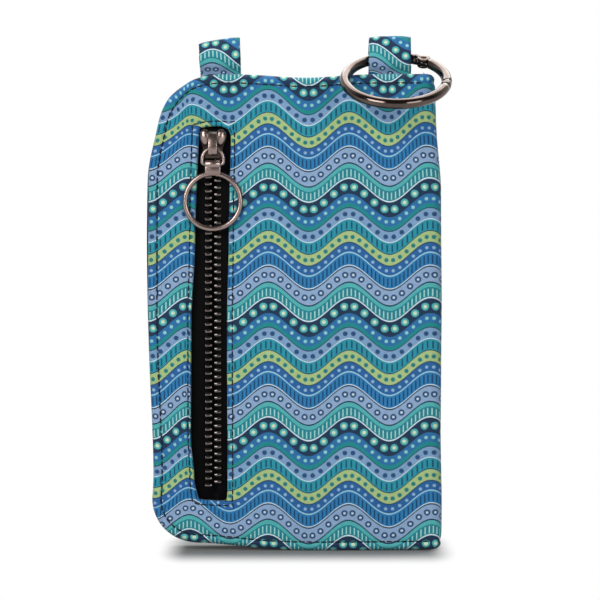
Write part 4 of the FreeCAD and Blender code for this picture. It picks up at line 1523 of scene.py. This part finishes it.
def make_hoop():
    """The fixed part of the ring: its bar, the lip at the mouth and the two cheeks of the fork."""
    parts = [bar(63.2, 342.0), trimmed(bar(-18.0, 2.0), MOUTH + MOUTH_OUT * MOUTH_GAP, MOUTH_OUT)]
    for side in (1, -1):
        way = HOOP_AXIS * side
        parts.append(trimmed(bar(RIVET_AT, 66.0), HOOP_MIDDLE + way * CHEEK[0], way))
        parts.append(disc(FORK_REACH, *sorted(side * edge for edge in CHEEK)))
    return finish_piece("carrier_hoop", joined(parts), gunmetal, ["carrier_ring"], body="ring")


def make_gate():
    """The gate: its bar, cut square at the mouth, and the flat tongue with its eye."""
    shank = trimmed(bar(-14.0, 46.8), MOUTH, -MOUTH_OUT)
    tongue = bar(44.0, RIVET_AT)
    for way in (HOOP_AXIS, -HOOP_AXIS):
        trimmed(tongue, HOOP_MIDDLE + way * TONGUE, -way)
    gate = joined([shank, tongue, disc(EYE_REACH, -TONGUE, TONGUE)])
    return finish_piece("hoop_gate", gate, gunmetal, ["ring_gate"], body="gate")


def make_rivet():
    """The rivet through the fork, with a low domed head on each cheek."""
    parts = [disc(STEM_REACH, -CHEEK[1], CHEEK[1])]
    for way in (HOOP_AXIS, -HOOP_AXIS):
        head = bmesh.new()
        place = RIVET + way * CHEEK[1]
        bmesh.ops.create_uvsphere(
            head, u_segments=20, v_segments=10, radius=1.0,
            matrix=turned_to(place, HOOP_RIGHT, HOOP_UP, HOOP_AXIS) @ Matrix.Diagonal((*HEAD_SPANS, 1)),
        )
        parts.append(trimmed(head, place, way))
    return finish_piece("gate_rivet", joined(parts), gunmetal, ["gate_pin"], body="ring")


carrier_hoop = make_hoop()
hoop_gate = make_gate()
gate_rivet = make_rivet()

# %% [markdown]
# ## Floor, light and background
#
# The pouch stands on a plain floor. Two soft lamps light it from the front left and the front right, and
# a third from above and behind, which draws a short soft shadow in front of the base. Round the base the
# floor is dark grey, a painted shadow that deepens and bounds the lamps' shadow. The white of the
# background comes from the floor and the world, not from more light on the pouch: the floor fades to
# white away from the pouch, where a camera or a reflection sees it. Reflections show the white backdrop
# behind the pouch and a dimmer room in front of it.

# %% The floor
WHITE = (1, 1, 1, 1)
FLOOR_HALF = 6.0
# Dark grey of the floor round the base, a painted shadow that deepens the lamps' shadow there
FLOOR_SHADE_TONE = 0.22
FLOOR_GLOW = 0.03
# Where the floor fades to white, across and then along: the middle, half the width that stays dark grey as
# painted shadow, and the fade
FADES = [(0.005, 0.045, 0.012), (0.0, REAR * MM + 0.004, 0.042)]


def make_floor():
    ground = bmesh.new()
    bmesh.ops.create_grid(ground, x_segments=1, y_segments=1, size=FLOOR_HALF)
    mesh = bpy.data.meshes.new("floor")
    ground.to_mesh(mesh)
    ground.free()
    floor = put_in_scene("floor", mesh)
    material, tree, shader = new_material("floor_painted_shadow_and_white")
    fill(tree, shader, {"Base Color": (FLOOR_SHADE_TONE, FLOOR_SHADE_TONE, FLOOR_SHADE_TONE, 1), "Roughness": 0.9})
    seen = add(tree, "ShaderNodeLightPath").outputs
    shown = math_node(tree, "MAXIMUM", seen["Is Camera Ray"], seen["Is Glossy Ray"])
    shown = math_node(tree, "MAXIMUM", shown, seen["Is Transmission Ray"])
    glow = add(tree, "ShaderNodeEmission", WHITE, math_node(tree, "MULTIPLY", shown, FLOOR_GLOW))
    both = add(tree, "ShaderNodeAddShader", shader.outputs[0], glow.outputs[0])
    place = add(tree, "ShaderNodeSeparateXYZ", add(tree, "ShaderNodeTexCoord").outputs["Object"])
    spans = []
    for way, (middle, half, fade) in zip(place.outputs, FADES):
        aside = math_node(tree, "ABSOLUTE", math_node(tree, "SUBTRACT", way, middle))
        past = math_node(tree, "MAXIMUM", math_node(tree, "SUBTRACT", aside, half), 0.0)
        spans.append(math_node(tree, "POWER", math_node(tree, "DIVIDE", past, fade), 2.0))
    away = math_node(tree, "SQRT", math_node(tree, "ADD", *spans))
    far = add(tree, "ShaderNodeMapRange", away, 0.0, 1.0, 0.0, 1.0, interpolation_type="SMOOTHSTEP")
    white = add(tree, "ShaderNodeEmission", WHITE)
    faded = math_node(tree, "MULTIPLY", shown, far.outputs[0])
    # Round the base the camera sees the grey floor, a painted shadow over the lamps' own; farther off it
    # fades to white
    surface = add(tree, "ShaderNodeMixShader", faded, both.outputs[0], white.outputs[0])
    fill(tree, tree.nodes["Material Output"], {"Surface": surface.outputs[0]})
    mesh.materials.append(material)
    print("floor:", 2 * FLOOR_HALF, "m across")


make_floor()

# %% World and lamps
# What the world gives to matt surfaces, and to reflections in front of the pouch and behind it
ROOM_LIGHT = 0.3
ROOM_FRONT = 0.1
BACKDROP = 1.0


def make_world():
    world = bpy.data.worlds.new("studio")
    bpy.context.scene.world = world
    world.use_nodes = True
    tree = world.node_tree
    seen = add(tree, "ShaderNodeLightPath").outputs
    split = add(tree, "ShaderNodeSeparateXYZ", add(tree, "ShaderNodeTexCoord").outputs["Generated"])
    behind = add(tree, "ShaderNodeMapRange", split.outputs[1], -0.3, 0.4, ROOM_FRONT, BACKDROP).outputs[0]
    shiny = math_node(tree, "MAXIMUM", seen["Is Glossy Ray"], seen["Is Transmission Ray"])
    soft = add(tree, "ShaderNodeMix", shiny, None, ROOM_LIGHT, behind, data_type="FLOAT").outputs[0]
    strength = add(tree, "ShaderNodeMix", seen["Is Camera Ray"], None, soft, 1.0, data_type="FLOAT")
    fill(tree, tree.nodes["Background"], {"Color": WHITE, "Strength": strength.outputs[0]})


def make_lamp(name, place, aim, size, power):
    """A soft square lamp that looks at a point."""
    data = bpy.data.lights.new(name, "AREA")
    data.size = size
    data.energy = power
    lamp = put_in_scene(name, data)
    lamp.location = place
    lamp.rotation_euler = (Vector(aim) - Vector(place)).to_track_quat("-Z", "Y").to_euler()
    print(f"{name} lamp: {power} W")


make_world()
make_lamp("key", place=(-0.75, -1.1, 0.6), aim=(0, 0, 0.1), size=0.7, power=13)
make_lamp("fill", place=(0.75, -1.15, 0.4), aim=(0, 0, 0.1), size=0.6, power=5.6)
make_lamp("top", place=(0.1, 0.45, 0.9), aim=(0, 0, 0.05), size=1.0, power=12)
bpy.context.scene.view_settings.view_transform = "Standard"
